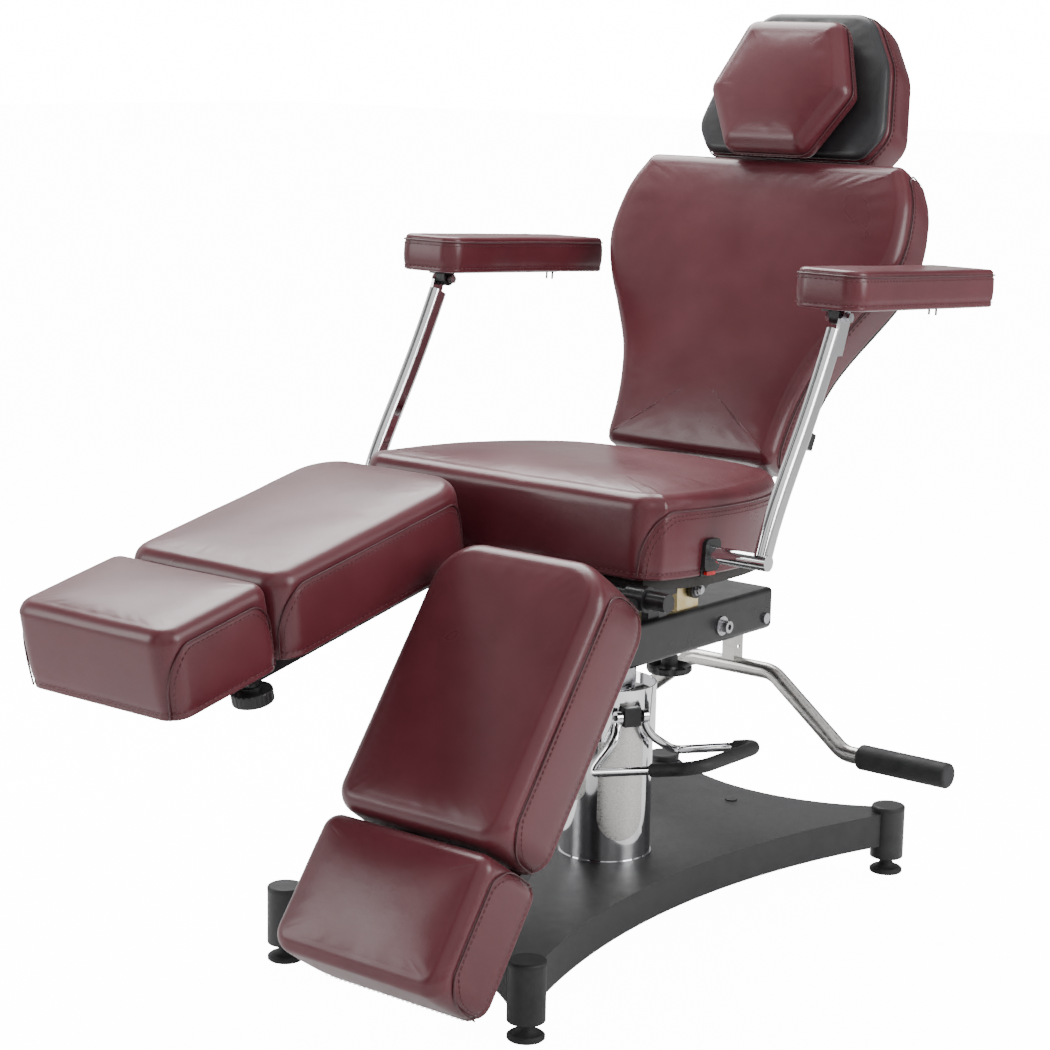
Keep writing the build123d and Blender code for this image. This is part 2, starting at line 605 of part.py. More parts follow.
# Sockets for the arm tubes with a rounded escutcheon on the seat's side.
SQ, SW = -140.0, 29.5
with BuildPart() as arm_sockets:
    for sgn in (1, -1):
        with BuildSketch(SEAT):
            with Locations((sgn * 223, SQ)):
                Rectangle(80.4, 34)
        extrude(amount=46)
        sock = Plane(origin=SEAT.from_local_coords((sgn * 262.9, SQ, SW - 1)), x_dir=(0, ct, -st), z_dir=(sgn, 0, 0))
        with BuildSketch(sock):
            RectangleRounded(35, 43, 9)
        extrude(amount=6)
    for sgn in (1, -1):
        with BuildSketch(Plane(origin=(sgn * 186, ARM_PIVOT_Y, ARM_PIVOT_Z), x_dir=(0, 1, 0), z_dir=(sgn, 0, 0))):
            Circle(11.06)
        extrude(amount=100, mode=Mode.SUBTRACT)
save(arm_sockets.part, "arm_sockets")

with BuildPart() as socket_tabs:
    for sgn in (1, -1):
        tabp = Plane(origin=SEAT.from_local_coords((sgn * 263.3, SQ, SW - 25.5)), x_dir=(0, ct, -st), z_dir=(sgn, 0, 0))
        with BuildSketch(tabp):
            RectangleRounded(20, 5, 2)
        extrude(amount=4.5)
save(socket_tabs.part, "socket_tabs")

with BuildPart() as back_pivot_bolts:
    for sgn in (1, -1):
        with BuildSketch(Plane(origin=(sgn * 90, BACK_PIVOT_Y, BACK_PIVOT_Z), x_dir=(0, 1, 0), z_dir=(sgn, 0, 0))):
            Circle(6.0)
        extrude(amount=20)
        with BuildSketch(Plane(origin=(sgn * 108.1, BACK_PIVOT_Y, BACK_PIVOT_Z), x_dir=(0, 1, 0), z_dir=(sgn, 0, 0))):
            Circle(11)
        extrude(amount=2)
        with BuildSketch(Plane(origin=(sgn * 110, BACK_PIVOT_Y, BACK_PIVOT_Z), x_dir=(0, 1, 0), z_dir=(sgn, 0, 0))):
            RegularPolygon(10.5, 6)
        extrude(amount=7)
save(back_pivot_bolts.part, "back_pivot_bolts")

# ================================================================ BACK REST
bh = -(BACK_THICK + BACK_BOARD) - 0.02
with BuildPart() as back_rails:
    with BuildSketch(BACK.offset(bh - 22)):
        with Locations((72, 193), (-72, 193)):
            Rectangle(25, 252)
    extrude(amount=22)

with BuildPart() as back_crossbars:
    with BuildSketch(BACK.offset(bh - 22)):
        with Locations((0, 56), (0, 330)):
            Rectangle(282, 25)
    extrude(amount=22)

with BuildPart() as back_brackets:
    for sgn in (1, -1):
        with BuildSketch(side_plane(sgn * 95 - 3)):
            with BuildLine():
                Polyline(back_point(-50, -72), back_point(-58, -60), back_point(-50, -46), back_point(-34, -46),
                         back_point(-16, -88), back_point(-6, -99), back_point(72, -99), back_point(72, -116),
                         back_point(10, -117), back_point(-50, -72))
            make_face()
            with Locations((BACK_PIVOT_Y, BACK_PIVOT_Z)):
                Circle(16)
        extrude(amount=6)
    with BuildSketch(side_plane(-160)):
        with Locations((BACK_PIVOT_Y, BACK_PIVOT_Z)):
            Circle(6.06)
    extrude(amount=320, mode=Mode.SUBTRACT)

with BuildPart() as back_frame:
    add(back_rails.part)
    add(back_crossbars.part)
    add(back_brackets.part)
save(back_frame.part, "back_frame")

BACK_SIDE = [(149, 6), (151, 50), (158, 95), (173, 145), (205, 205), (233, 252), (253, 300), (258, 340), (252, 390),
             (240, 424), (222, 446)]
with BuildPart() as back_board:
    with BuildSketch(BACK.offset(-BACK_THICK - BACK_BOARD)):
        with BuildLine():
            bp = [(x - 10, max(s, 10)) for x, s in BACK_SIDE[:-1]]
            Line((-139, 10), (139, 10))
            Spline(*bp)
            Line(bp[-1], (205, 442))
            Line((205, 442), (-205, 442))
            Line((-205, 442), (-bp[-1][0], bp[-1][1]))
            Spline(*[(-x, s) for x, s in bp[::-1]])
        make_face()
    extrude(amount=BACK_BOARD - 0.02)
save(back_board.part, "back_board")

with BuildPart() as back_cushion:
    with BuildSketch(BACK.offset(-BACK_THICK)):
        with BuildLine():
            Line((-140, -13), (140, -13))
            Spline((140, -13), (147, -11), (149, -3))
            Line((149, -3), (149, 10))
            Spline((149, 10), *BACK_SIDE[1:], tangents=((0.02, 1), (-1, 0.9)))
            Spline((222, 446), (213, 452), (200, 455))
            Line((200, 455), (-200, 455))
            Spline((-200, 455), (-213, 452), (-222, 446))
            Spline(*[(-x, s) for x, s in BACK_SIDE[:0:-1]], (-149, 10), tangents=((-1, -0.9), (0.02, -1)))
            Line((-149, 10), (-149, -3))
            Spline((-149, -3), (-147, -11), (-140, -13))
        make_face()
    extrude(amount=BACK_THICK)
    soften(back_cushion, back_cushion.faces().filter_by(BACK).sort_by(Axis.Y)[0].edges(), 16, 12, 8, 5)
save(back_cushion.part, "back_cushion")

# Guide tubes for the head rest posts behind the board.
with BuildPart() as head_guides:
    gs = Plane(origin=(0, *back_point(250, POST_H)), x_dir=(1, 0, 0), z_dir=(0, sb, cb))
    with BuildSketch(gs):
        with Locations((-30, 0), (30, 0)):
            Circle(10.5)
    extrude(amount=196)
    with BuildSketch(BACK.offset(-BACK_THICK - BACK_BOARD - 0.02)):
        with Locations((0, 275), (0, 425)):
            Rectangle(90, 22)
    extrude(amount=-26)
    with BuildSketch(gs.offset(-2)):
        with Locations((-30, 0), (30, 0)):
            Circle(7.06)
    extrude(amount=220, mode=Mode.SUBTRACT)
save(head_guides.part, "head_guides")

# ================================================================ HEAD REST
with BuildPart() as head_posts:
    ps = Plane(origin=(0, *back_point(262, POST_H)), x_dir=(1, 0, 0), z_dir=(0, sb, cb))
    with BuildSketch(ps):
        with Locations((-30, 0), (30, 0)):
            Circle(7.0)
    extrude(amount=POST_S - 262)
    with BuildSketch(side_plane(-40)):
        with Locations(back_point(POST_S, POST_H)):
            Circle(11)
    extrude(amount=80)
    with BuildSketch(side_plane(-60)):
        with Locations(back_point(POST_S, POST_H)):
            Circle(6.06)
    extrude(amount=120, mode=Mode.SUBTRACT)
save(head_posts.part, "head_posts")


def head_point(s, h):
    return (HEAD_Y + s * shd - h * chd, HEAD_Z + s * chd + h * shd)


HEAD_BOARD_H = -92.0
HPY, HPZ = back_point(POST_S, POST_H)
with BuildPart() as head_plate:
    with BuildSketch(HEAD.offset(HEAD_BOARD_H)):
        with BuildLine():
            Polyline((-130, 8), (130, 8), (152, 42), (130, 150), (84, 218), (-84, 218), (-130, 150), (-152, 42), (-130, 8))
        make_face()
    extrude(amount=11.98)
    for sgn in (1, -1):
        with BuildSketch(side_plane(sgn * 44.5 - 2.5)):
            with BuildLine():
                Polyline(head_point(30, HEAD_BOARD_H + 2), head_point(80, HEAD_BOARD_H + 2), (HPY + 10, HPZ + 9),
                         (HPY + 11, HPZ - 5), (HPY, HPZ - 12), head_point(30, HEAD_BOARD_H + 2))
            make_face()
            with Locations((HPY, HPZ)):
                Circle(12)
        extrude(amount=5)
    with BuildSketch(side_plane(-60)):
        with Locations((HPY, HPZ)):
            Circle(6.02)
    extrude(amount=120, mode=Mode.SUBTRACT)

with BuildPart() as head_pin:
    with BuildSketch(side_plane(-51)):
        with Locations((HPY, HPZ)):
            Circle(6.0)
    extrude(amount=102)
    with BuildSketch(side_plane(47.2)):
        with Locations((HPY, HPZ)):
            Circle(9)
    extrude(amount=5)
    with BuildSketch(side_plane(-52.2)):
        with Locations((HPY, HPZ)):
            Circle(9)
    extrude(amount=5)

with BuildPart() as head_mount_plate:
    add(head_plate.part)
    add(head_pin.part)
save(head_mount_plate.part, "head_plate")

with BuildPart() as head_cushion:
    with BuildSketch(HEAD.offset(-80)):
        with BuildLine():
            Polyline((-138, 0), (138, 0), (167, 42), (144, 150), (94, 229), (-94, 229), (-144, 150), (-167, 42), (-138, 0))
        make_face()
        fillet(vertices(), 16)
    extrude(amount=64.6)
save(head_cushion.part, "head_cushion")

with BuildPart() as head_insert:
    with BuildSketch(HEAD.offset(-15)):
        with BuildLine():
            Polyline((-136, 1), (136, 1), (165, 42), (142, 149), (92, 228), (-92, 228), (-142, 149), (-165, 42), (-136, 1))
        make_face()
        fillet(vertices(), 16)
    extrude(amount=15)
    soften(head_insert, head_insert.faces().filter_by(HEAD).sort_by(Axis.Y)[0].edges(), 9, 6, 4)
save(head_insert.part, "head_insert")

with BuildPart() as neck_pillow:
    with BuildSketch(HEAD.offset(3)):
        with BuildLine():
            Polyline((-66, -8), (66, -8), (118, 84), (78, 190), (-78, 190), (-118, 84), (-66, -8))
        make_face()
        fillet(vertices(), 12)
    extrude(amount=62)
    soften(neck_pillow, neck_pillow.faces().filter_by(HEAD).sort_by(Axis.Y)[0].edges(), 16, 11, 8)
    soften(neck_pillow, neck_pillow.faces().filter_by(HEAD).sort_by(Axis.Y)[-1].edges(), 11, 8)
save(neck_pillow.part, "neck_pillow")

# ================================================================ ARM RESTS
ca, sa = cos(radians(ARMPAD_TILT)), sin(radians(ARMPAD_TILT))
for tag, sgn in (("l", 1), ("r", -1)):
    with BuildPart() as arm_tube:
        with BuildSketch(Plane(origin=(sgn * 190, ARM_PIVOT_Y, ARM_PIVOT_Z), x_dir=(0, 1, 0), z_dir=(sgn, 0, 0))):
            Circle(11.0)
        extrude(amount=166)
        with BuildLine() as arm_path:
            ap = Spline((sgn * ARM_X, -137, 600), (sgn * ARM_X, -103, 672), (sgn * ARM_X, -64, 737),
                        (sgn * ARM_X, -27, 800), (sgn * ARM_X, 6, 862), (sgn * ARM_X, 16, 882))
        tan0 = ap % 0
        with BuildSketch(Plane(origin=ap @ 0, x_dir=(0, tan0.Z, -tan0.Y), z_dir=tan0)):
            SlotOverall(30, 18)
        sweep(path=arm_path.wire())
        with BuildSketch(Plane(origin=(sgn * 351.2, 0, 0), x_dir=(0, 1, 0), z_dir=(sgn, 0, 0)) if sgn > 0 else
                         Plane(origin=(-351.2, 0, 0), x_dir=(0, 1, 0), z_dir=(1, 0, 0))):
            with BuildLine():
                Polyline((-2, 850), (20, 850), (38.3, 898), (20, 906.5), (14, 900), (-2, 850))
            make_face()
            with Locations((PAD_PIVOT_Y, PAD_PIVOT_Z)):
                Circle(10.5)
        extrude(amount=5 if sgn > 0 else -5)
        with BuildSketch(Plane(origin=(sgn * 340, PAD_PIVOT_Y, PAD_PIVOT_Z), x_dir=(0, 1, 0), z_dir=(sgn, 0, 0))):
            Circle(4.02)
        extrude(amount=40, mode=Mode.SUBTRACT)
    save(arm_tube.part, "arm_tube_" + tag)

    with BuildPart() as arm_bolt:
        with BuildSketch(Plane(origin=(sgn * 333, PAD_PIVOT_Y, PAD_PIVOT_Z), x_dir=(0, 1, 0), z_dir=(sgn, 0, 0))):
            Circle(4.0)
        extrude(amount=24)
        with BuildSketch(Plane(origin=(sgn * 356.3, PAD_PIVOT_Y, PAD_PIVOT_Z), x_dir=(0, 1, 0), z_dir=(sgn, 0, 0))):
            Circle(7.5)
        extrude(amount=1.6)
        with BuildSketch(Plane(origin=(sgn * 357.8, PAD_PIVOT_Y, PAD_PIVOT_Z), x_dir=(0, 1, 0), z_dir=(sgn, 0, 0))):
            RegularPolygon(7, 6)
        extrude(amount=5)
        with BuildSketch(Plane(origin=(sgn * 326, PAD_PIVOT_Y, PAD_PIVOT_Z), x_dir=(0, 1, 0), z_dir=(sgn, 0, 0))):
            RegularPolygon(7, 6)
        extrude(amount=7)
    save(arm_bolt.part, "arm_bolt_" + tag)

    ARMP = Plane(origin=(sgn * ARM_X, PAD_PIVOT_Y, PAD_PIVOT_Z + 11), x_dir=(1, 0, 0), z_dir=(0, sa, ca))
    with BuildPart() as arm_plate:
        with BuildSketch(ARMP.offset(-3.02)):
            with Locations((-sgn * 4.6, 115)):
                RectangleRounded(18, 290, 5)
        extrude(amount=3)
        with BuildSketch(side_plane(334.2) if sgn > 0 else side_plane(-350.8)):
            with BuildLine():
                Polyline((16.5, 910.2), (16.5, 900), (39.5, 900), (39.5, 909), (16.5, 910.2))
            make_face()
            with Locations((PAD_PIVOT_Y, PAD_PIVOT_Z)):
                Circle(10.5)
        extrude(amount=16.6)
        with BuildSketch(Plane(origin=(sgn * 320, PAD_PIVOT_Y, PAD_PIVOT_Z), x_dir=(0, 1, 0), z_dir=(sgn, 0, 0))):
            Circle(4.06)
        extrude(amount=50, mode=Mode.SUBTRACT)
        # two wire prongs below the rear end
        with BuildSketch(ARMP.offset(-14)):
            with Locations((-sgn * 10, 250), (sgn * 1, 250)):
                Circle(1.6)
        extrude(amount=12)
    save(arm_plate.part, "arm_plate_" + tag)

    with BuildPart() as arm_pad:
        with BuildSketch(ARMP):
            with BuildLine():
                i = -sgn  # towards the sitter
                Polyline((-i * 54, 10), (-i * 54, 315))
                Spline((-i * 54, 315), (-i * 51, 320), (-i * 46, 322))
                Line((-i * 46, 322), (i * 46, 322))
                Spline((i * 46, 322), (i * 51, 320), (i * 54, 315))
                Spline((i * 54, 315), (i * 51, 250), (i * 44, 185), (i * 47, 110), (i * 54, 40), (i * 54, 10))
                Spline((i * 54, 10), (i * 45, -28), (i * 14, -45), (0, -46), (-i * 14, -45), (-i * 45, -28), (-i * 54, 10),
                       tangents=((0, -1), (0, 1)))
            make_face()
        extrude(amount=53)
        soften(arm_pad, arm_pad.faces().filter_by(ARMP).sort_by(Axis.Z)[-1].edges(), 7, 4, 2)
    save(arm_pad.part, "arm_pad_" + tag)

# ================================================================ LEG RESTS
for tag, sgn in (("l", 1), ("r", -1)):
    LEG = leg_plane(tag)
    a = radians(LEG_DROP[tag])
    with BuildPart() as leg_frame:
        # hinge sleeves
        for xc in RAIL_X:
            with BuildSketch(side_plane(sgn * xc - 15)):
                with Locations((AXLE_Y, AXLE_Z)):
                    Circle(17)
            extrude(amount=30)
        # rails, cross bars and pad plate
        with BuildSketch(LEG.offset(2)):
            for xc in RAIL_X:
                with Locations((sgn * xc, -(10 + 430) / 2)):
                    Rectangle(20, 420)
            with Locations((sgn * 147.5, -75), (sgn * 147.5, -340)):
                Rectangle(182, 22)
        extrude(amount=20)
        with BuildSketch(LEG.offset(21.5)):
            with Locations((sgn * 147.5, -215)):
                RectangleRounded(216, 320, 12)
        extrude(amount=2.48)
        # boss for the clamping knob
        with BuildSketch(LEG.offset(-2.5)):
            with Locations((sgn * RAIL_X[0], -KNOB_S)):
                Circle(9.5)
        extrude(amount=5)
        with BuildSketch(LEG.offset(-6)):
            with Locations((sgn * RAIL_X[0], -KNOB_S)):
                Circle(4.04)
        extrude(amount=12, mode=Mode.SUBTRACT)
        with BuildSketch(side_plane(-300)):
            with Locations((AXLE_Y, AXLE_Z)):
                Circle(AXLE_R + 0.06)
        extrude(amount=600, mode=Mode.SUBTRACT)
        # square bores for the foot slide
        with BuildSketch(LEG.offset(4.45)):
            for xc in RAIL_X:
                with Locations((sgn * xc, -(150 + 440) / 2)):
                    Rectangle(15.1, 290)
        extrude(amount=15.1, mode=Mode.SUBTRACT)
    save(leg_frame.part, "leg_frame_" + tag)

    with BuildPart() as leg_pad:
        with BuildSketch(LEG.offset(PAD_LOW)):
            with BuildLine():
                Polyline((sgn * (PAD_IN + 44), -LEG_S0), (sgn * (PAD_OUT - 44), -LEG_S0), (sgn * PAD_OUT, -LEG_S0 - 62),
                         (sgn * PAD_OUT, -LEG_S1), (sgn * PAD_IN, -LEG_S1), (sgn * PAD_IN, -LEG_S0 - 62),
                         (sgn * (PAD_IN + 44), -LEG_S0))
            make_face()
            fillet(vertices(), 32)
        extrude(amount=PAD_THICK)
        soften(leg_pad, leg_pad.faces().filter_by(LEG).sort_by(Axis.Z)[-1].edges(), 20, 14, 10)
    save(leg_pad.part, "leg_pad_" + tag)

    with BuildPart() as foot_frame:
        with BuildSketch(LEG.offset(4.5)):
            for xc in RAIL_X:
                with Locations((sgn * xc, -(300 + 520) / 2)):
                    Rectangle(15, 220)
        extrude(amount=15)
        with BuildSketch(LEG.offset(21.5)):
            with Locations((sgn * 147.5, -510)):
                RectangleRounded(216, 128, 12)
        extrude(amount=2.48)
        with BuildSketch(LEG.offset(19)):
            for xc in RAIL_X:
                with Locations((sgn * xc, -485)):
                    Rectangle(15, 66)
        extrude(amount=3)
    save(foot_frame.part, "foot_frame_" + tag)

    with BuildPart() as foot_pad:
        with BuildSketch(LEG.offset(PAD_LOW)):
            with BuildLine():
                Polyline((sgn * (PAD_IN + 10), -FOOT_S0), (sgn * (PAD_OUT - 10), -FOOT_S0), (sgn * PAD_OUT, -FOOT_S0 - 30),
                         (sgn * PAD_OUT, -FOOT_S1), (sgn * PAD_IN, -FOOT_S1), (sgn * PAD_IN, -FOOT_S0 - 30),
                         (sgn * (PAD_IN + 10), -FOOT_S0))
            make_face()
            fillet(vertices(), 15)
        extrude(amount=PAD_THICK)
        soften(foot_pad, foot_pad.faces().filter_by(LEG).sort_by(Axis.Z)[-1].edges(), 14, 10, 8)
    save(foot_pad.part, "foot_pad_" + tag)

    # ribbed clamping knob
    with BuildPart() as slide_knob:
        with BuildSketch(LEG.offset(-25)):
            with Locations((sgn * RAIL_X[0], -KNOB_S)):
                Circle(27)
        extrude(amount=18)
        fillet(slide_knob.edges().filter_by(GeomType.CIRCLE), 3)
        with BuildSketch(LEG.offset(-26)):
            with Locations((sgn * RAIL_X[0], -KNOB_S)):
                with PolarLocations(28.6, 24):
                    Circle(2.6)
        extrude(amount=20, mode=Mode.SUBTRACT)
        with BuildSketch(LEG.offset(-8)):
            with Locations((sgn * RAIL_X[0], -KNOB_S)):
                Circle(13)
        extrude(amount=5.2)
        with BuildSketch(LEG.offset(-8)):
            with Locations((sgn * RAIL_X[0], -KNOB_S)):
                Circle(4.0)
        extrude(amount=12.2)
    save(slide_knob.part, "slide_knob_" + tag)
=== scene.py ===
import json
import math
import bpy
import numpy as np
from mathutils import Matrix, Vector, noise


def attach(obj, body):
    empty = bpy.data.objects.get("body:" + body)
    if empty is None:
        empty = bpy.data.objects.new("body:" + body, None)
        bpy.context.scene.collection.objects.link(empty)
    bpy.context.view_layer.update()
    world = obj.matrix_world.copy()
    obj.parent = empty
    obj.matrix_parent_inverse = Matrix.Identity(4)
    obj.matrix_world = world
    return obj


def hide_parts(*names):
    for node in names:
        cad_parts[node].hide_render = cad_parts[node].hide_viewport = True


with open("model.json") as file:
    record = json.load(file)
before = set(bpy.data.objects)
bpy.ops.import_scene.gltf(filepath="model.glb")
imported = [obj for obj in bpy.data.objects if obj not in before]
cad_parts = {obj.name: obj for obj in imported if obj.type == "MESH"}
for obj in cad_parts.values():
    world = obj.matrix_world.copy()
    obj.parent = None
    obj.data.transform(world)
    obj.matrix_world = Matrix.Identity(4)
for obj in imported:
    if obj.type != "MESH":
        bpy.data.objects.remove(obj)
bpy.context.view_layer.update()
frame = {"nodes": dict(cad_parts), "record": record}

YC = 0.14446
MM = 0.001

# ------------------------------------------------------------------ materials


def new_mat(name):
    m = bpy.data.materials.new(name)
    m.use_nodes = True
    nt = m.node_tree
    return m, nt, nt.nodes["Principled BSDF"]


def noise_node(nt, scale, detail=4.0, rough=0.55, stretch=(1, 1, 1)):
    tc = nt.nodes.new("ShaderNodeTexCoord")
    mp = nt.nodes.new("ShaderNodeMapping")
    mp.inputs["Scale"].default_value = stretch
    n = nt.nodes.new("ShaderNodeTexNoise")
    n.inputs["Scale"].default_value = scale
    n.inputs["Detail"].default_value = detail
    n.inputs["Roughness"].default_value = rough
    nt.links.new(tc.outputs["Object"], mp.inputs["Vector"])
    nt.links.new(mp.outputs["Vector"], n.inputs["Vector"])
    return n


def ramp(nt, src, a, b, lo=0.35, hi=0.65):
    r = nt.nodes.new("ShaderNodeValToRGB")
    r.color_ramp.elements[0].position = lo
    r.color_ramp.elements[0].color = (*a, 1)
    r.color_ramp.elements[1].position = hi
    r.color_ramp.elements[1].color = (*b, 1)
    nt.links.new(src, r.inputs["Fac"])
    return r


def rng(nt, src, lo, hi):
    r = nt.nodes.new("ShaderNodeMapRange")
    r.inputs["From Min"].default_value = 0.3
    r.inputs["From Max"].default_value = 0.7
    r.inputs["To Min"].default_value = lo
    r.inputs["To Max"].default_value = hi
    nt.links.new(src, r.inputs["Value"])
    return r


def bump(nt, bsdf, src, strength, dist, under=None):
    b = nt.nodes.new("ShaderNodeBump")
    b.inputs["Strength"].default_value = strength
    b.inputs["Distance"].default_value = dist
    nt.links.new(src, b.inputs["Height"])
    if under is not None:
        nt.links.new(under.outputs["Normal"], b.inputs["Normal"])
    nt.links.new(b.outputs["Normal"], bsdf.inputs["Normal"])
    return b


def leather(name, dark, light, rough=(0.30, 0.42)):
    m, nt, p = new_mat(name)
    big = noise_node(nt, 7.0, 3.0)
    nt.links.new(ramp(nt, big.outputs["Fac"], dark, light).outputs["Color"], p.inputs["Base Color"])
    nt.links.new(rng(nt, big.outputs["Fac"], rough[0], rough[1]).outputs["Result"], p.inputs["Roughness"])
    # fine creases, then the pebble grain on top of them
    crease = noise_node(nt, 34.0, 6.0, 0.65, (1.0, 2.6, 2.6))
    b1 = bump(nt, p, crease.outputs["Fac"], 0.10, 0.0012)
    tc = nt.nodes.new("ShaderNodeTexCoord")
    v = nt.nodes.new("ShaderNodeTexVoronoi")
    v.feature = "DISTANCE_TO_EDGE"
    v.inputs["Scale"].default_value = 620.0
    nt.links.new(tc.outputs["Object"], v.inputs["Vector"])
    bump(nt, p, v.outputs["Distance"], 0.16, 0.0006, b1)
    p.inputs["Specular IOR Level"].default_value = 0.5
    p.inputs["Sheen Weight"].default_value = 0.04
    p.inputs["Coat Weight"].default_value = 0.10
    p.inputs["Coat Roughness"].default_value = 0.28
    return m


def plain(name, dark, light, rough, metal=0.0, scale=40.0, stretch=(1, 1, 1), bstr=0.1, bdist=0.0003, bscale=None,
          coat=0.0):
    m, nt, p = new_mat(name)
    n = noise_node(nt, scale, 4.0, 0.55, stretch)
    nt.links.new(ramp(nt, n.outputs["Fac"], dark, light).outputs["Color"], p.inputs["Base Color"])
    nt.links.new(rng(nt, n.outputs["Fac"], rough[0], rough[1]).outputs["Result"], p.inputs["Roughness"])
    p.inputs["Metallic"].default_value = metal
    p.inputs["Coat Weight"].default_value = coat
    if bstr:
        g = noise_node(nt, bscale or scale * 4, 3.0, 0.6, stretch)
        bump(nt, p, g.outputs["Fac"], bstr, bdist)
    return m


MAT = {
    "wine_leather": leather("wine_leather", (0.086, 0.0118, 0.0185), (0.108, 0.0160, 0.0245), (0.27, 0.36)),
    "black_leather": leather("black_leather", (0.012, 0.012, 0.014), (0.021, 0.021, 0.024), (0.36, 0.48)),
    "powder_black": plain("powder_black", (0.012, 0.012, 0.0135), (0.021, 0.021, 0.023), (0.36, 0.46), bscale=900,
                          bstr=0.35, bdist=0.0006),
    "frame_black": plain("frame_black", (0.010, 0.010, 0.011), (0.018, 0.018, 0.020), (0.26, 0.36), bscale=700,
                         bstr=0.14, bdist=0.0004),
    "hidden_steel": plain("hidden_steel", (0.02, 0.02, 0.022), (0.03, 0.03, 0.033), (0.35, 0.45)),
    "polished_steel": plain("polished_steel", (0.70, 0.70, 0.72), (0.80, 0.80, 0.82), (0.05, 0.10), metal=1.0,
                            scale=12, bstr=0.03),
    "post_steel": plain("post_steel", (0.012, 0.012, 0.0135), (0.021, 0.021, 0.023), (0.36, 0.46), bscale=900,
                        bstr=0.3, bdist=0.0005),
    "chrome": plain("chrome", (0.78, 0.78, 0.80), (0.86, 0.86, 0.88), (0.04, 0.08), metal=1.0, scale=10, bstr=0.02),
    "brushed": plain("brushed", (0.50, 0.49, 0.47), (0.63, 0.62, 0.60), (0.24, 0.36), metal=1.0, scale=60,
                     stretch=(0.3, 6, 6), bstr=0.12, bdist=0.0002),
    "plain_steel": plain("plain_steel", (0.45, 0.45, 0.47), (0.60, 0.60, 0.62), (0.22, 0.36), metal=1.0, scale=80),
    "zinc_yellow": plain("zinc_yellow", (0.62, 0.47, 0.20), (0.76, 0.66, 0.42), (0.26, 0.40), metal=1.0, scale=45),
    "black_rubber": plain("black_rubber", (0.011, 0.011, 0.012), (0.022, 0.022, 0.024), (0.52, 0.70), bscale=520,
                          bstr=0.3, bdist=0.0005),
    "black_plastic": plain("black_plastic", (0.010, 0.010, 0.011), (0.018, 0.018, 0.019), (0.34, 0.48), bscale=500,
                           bstr=0.12),
    "red_plastic": plain("red_plastic", (0.50, 0.012, 0.012), (0.62, 0.02, 0.018), (0.25, 0.35), bstr=0.03),
    "board": plain("board", (0.02, 0.018, 0.017), (0.032, 0.028, 0.026), (0.6, 0.8), scale=30, stretch=(1, 8, 1)),
}
THREAD = plain("thread", (0.10, 0.026, 0.032), (0.16, 0.05, 0.056), (0.5, 0.65), scale=300)
PIPING = leather("wine_piping", (0.060, 0.012, 0.016), (0.080, 0.017, 0.022), (0.34, 0.46))

slot_of = {x["node"]: x["material_slot"] for x in frame["record"]["subparts"]}
for node, obj in frame["nodes"].items():
    obj.data.materials.clear()
    obj.data.materials.append(MAT[slot_of[node]])

# ------------------------------------------------------------------ cushion tools


def rounded(points, radii, seg=12):
    """Closed outline with a radius on each corner."""
    out = []
    n = len(points)
    for i in range(n):
        p = np.array(points[i], float)
        a = np.array(points[i - 1], float)
        b = np.array(points[(i + 1) % n], float)
        r = radii[i] if isinstance(radii, (list, tuple)) else radii
        da, db = a - p, b - p
        la, lb = np.linalg.norm(da), np.linalg.norm(db)
        da, db = da / la, db / lb
        cosang = float(np.clip(da @ db, -1, 1))
        half = math.acos(cosang) / 2
        if r <= 0 or half > 1.55:
            out.append(p)
            continue
        t = min(r / math.tan(half), 0.48 * la, 0.48 * lb)
        rr = t * math.tan(half)
        c = p + (da + db) / np.linalg.norm(da + db) * (rr / math.sin(half))
        p0, p1 = p + da * t, p + db * t
        a0 = math.atan2(*(p0 - c)[::-1])
        a1 = math.atan2(*(p1 - c)[::-1])
        d = (a1 - a0 + math.pi) % (2 * math.pi) - math.pi
        for k in range(seg + 1):
            g = a0 + d * k / seg
            out.append(c + rr * np.array([math.cos(g), math.sin(g)]))
    return np.array(out)


def catmull(points, per=10):
    """Open smooth curve through the points."""
    p = [np.array(q, float) for q in points]
    p = [2 * p[0] - p[1]] + p + [2 * p[-1] - p[-2]]
    out = []
    for i in range(1, len(p) - 2):
        for k in range(per):
            t = k / per
            out.append(0.5 * ((2 * p[i]) + (-p[i - 1] + p[i + 1]) * t + (2 * p[i - 1] - 5 * p[i] + 4 * p[i + 1] - p[i + 2]) * t * t
                              + (-p[i - 1] + 3 * p[i] - 3 * p[i + 1] + p[i + 2]) * t ** 3))
    out.append(p[-2])
    return np.array(out)


def resample(pts, step, closed=True):
    q = np.vstack([pts, pts[:1]]) if closed else np.array(pts)
    seg = np.linalg.norm(np.diff(q, axis=0), axis=1)
    keep = np.concatenate([[True], seg > 1e-9])
    q = q[keep]
    seg = np.linalg.norm(np.diff(q, axis=0), axis=1)
    s = np.concatenate([[0], np.cumsum(seg)])
    n = max(8, int(round(s[-1] / step)))
    u = np.linspace(0, s[-1], n, endpoint=not closed) if closed else np.linspace(0, s[-1], n + 1)
    return np.stack([np.interp(u, s, q[:, k]) for k in range(q.shape[1])], 1), u, s[-1]


def mesh_obj(name, verts, faces, mats, smooth=True):
    me = bpy.data.meshes.new(name)
    me.from_pydata([tuple(v) for v in verts], [], faces)
    me.update()
    for m in mats:
        me.materials.append(m)
    if smooth:
        me.polygons.foreach_set("use_smooth", [True] * len(me.polygons))
    ob = bpy.data.objects.new(name, me)
    bpy.context.scene.collection.objects.link(ob)
    return ob


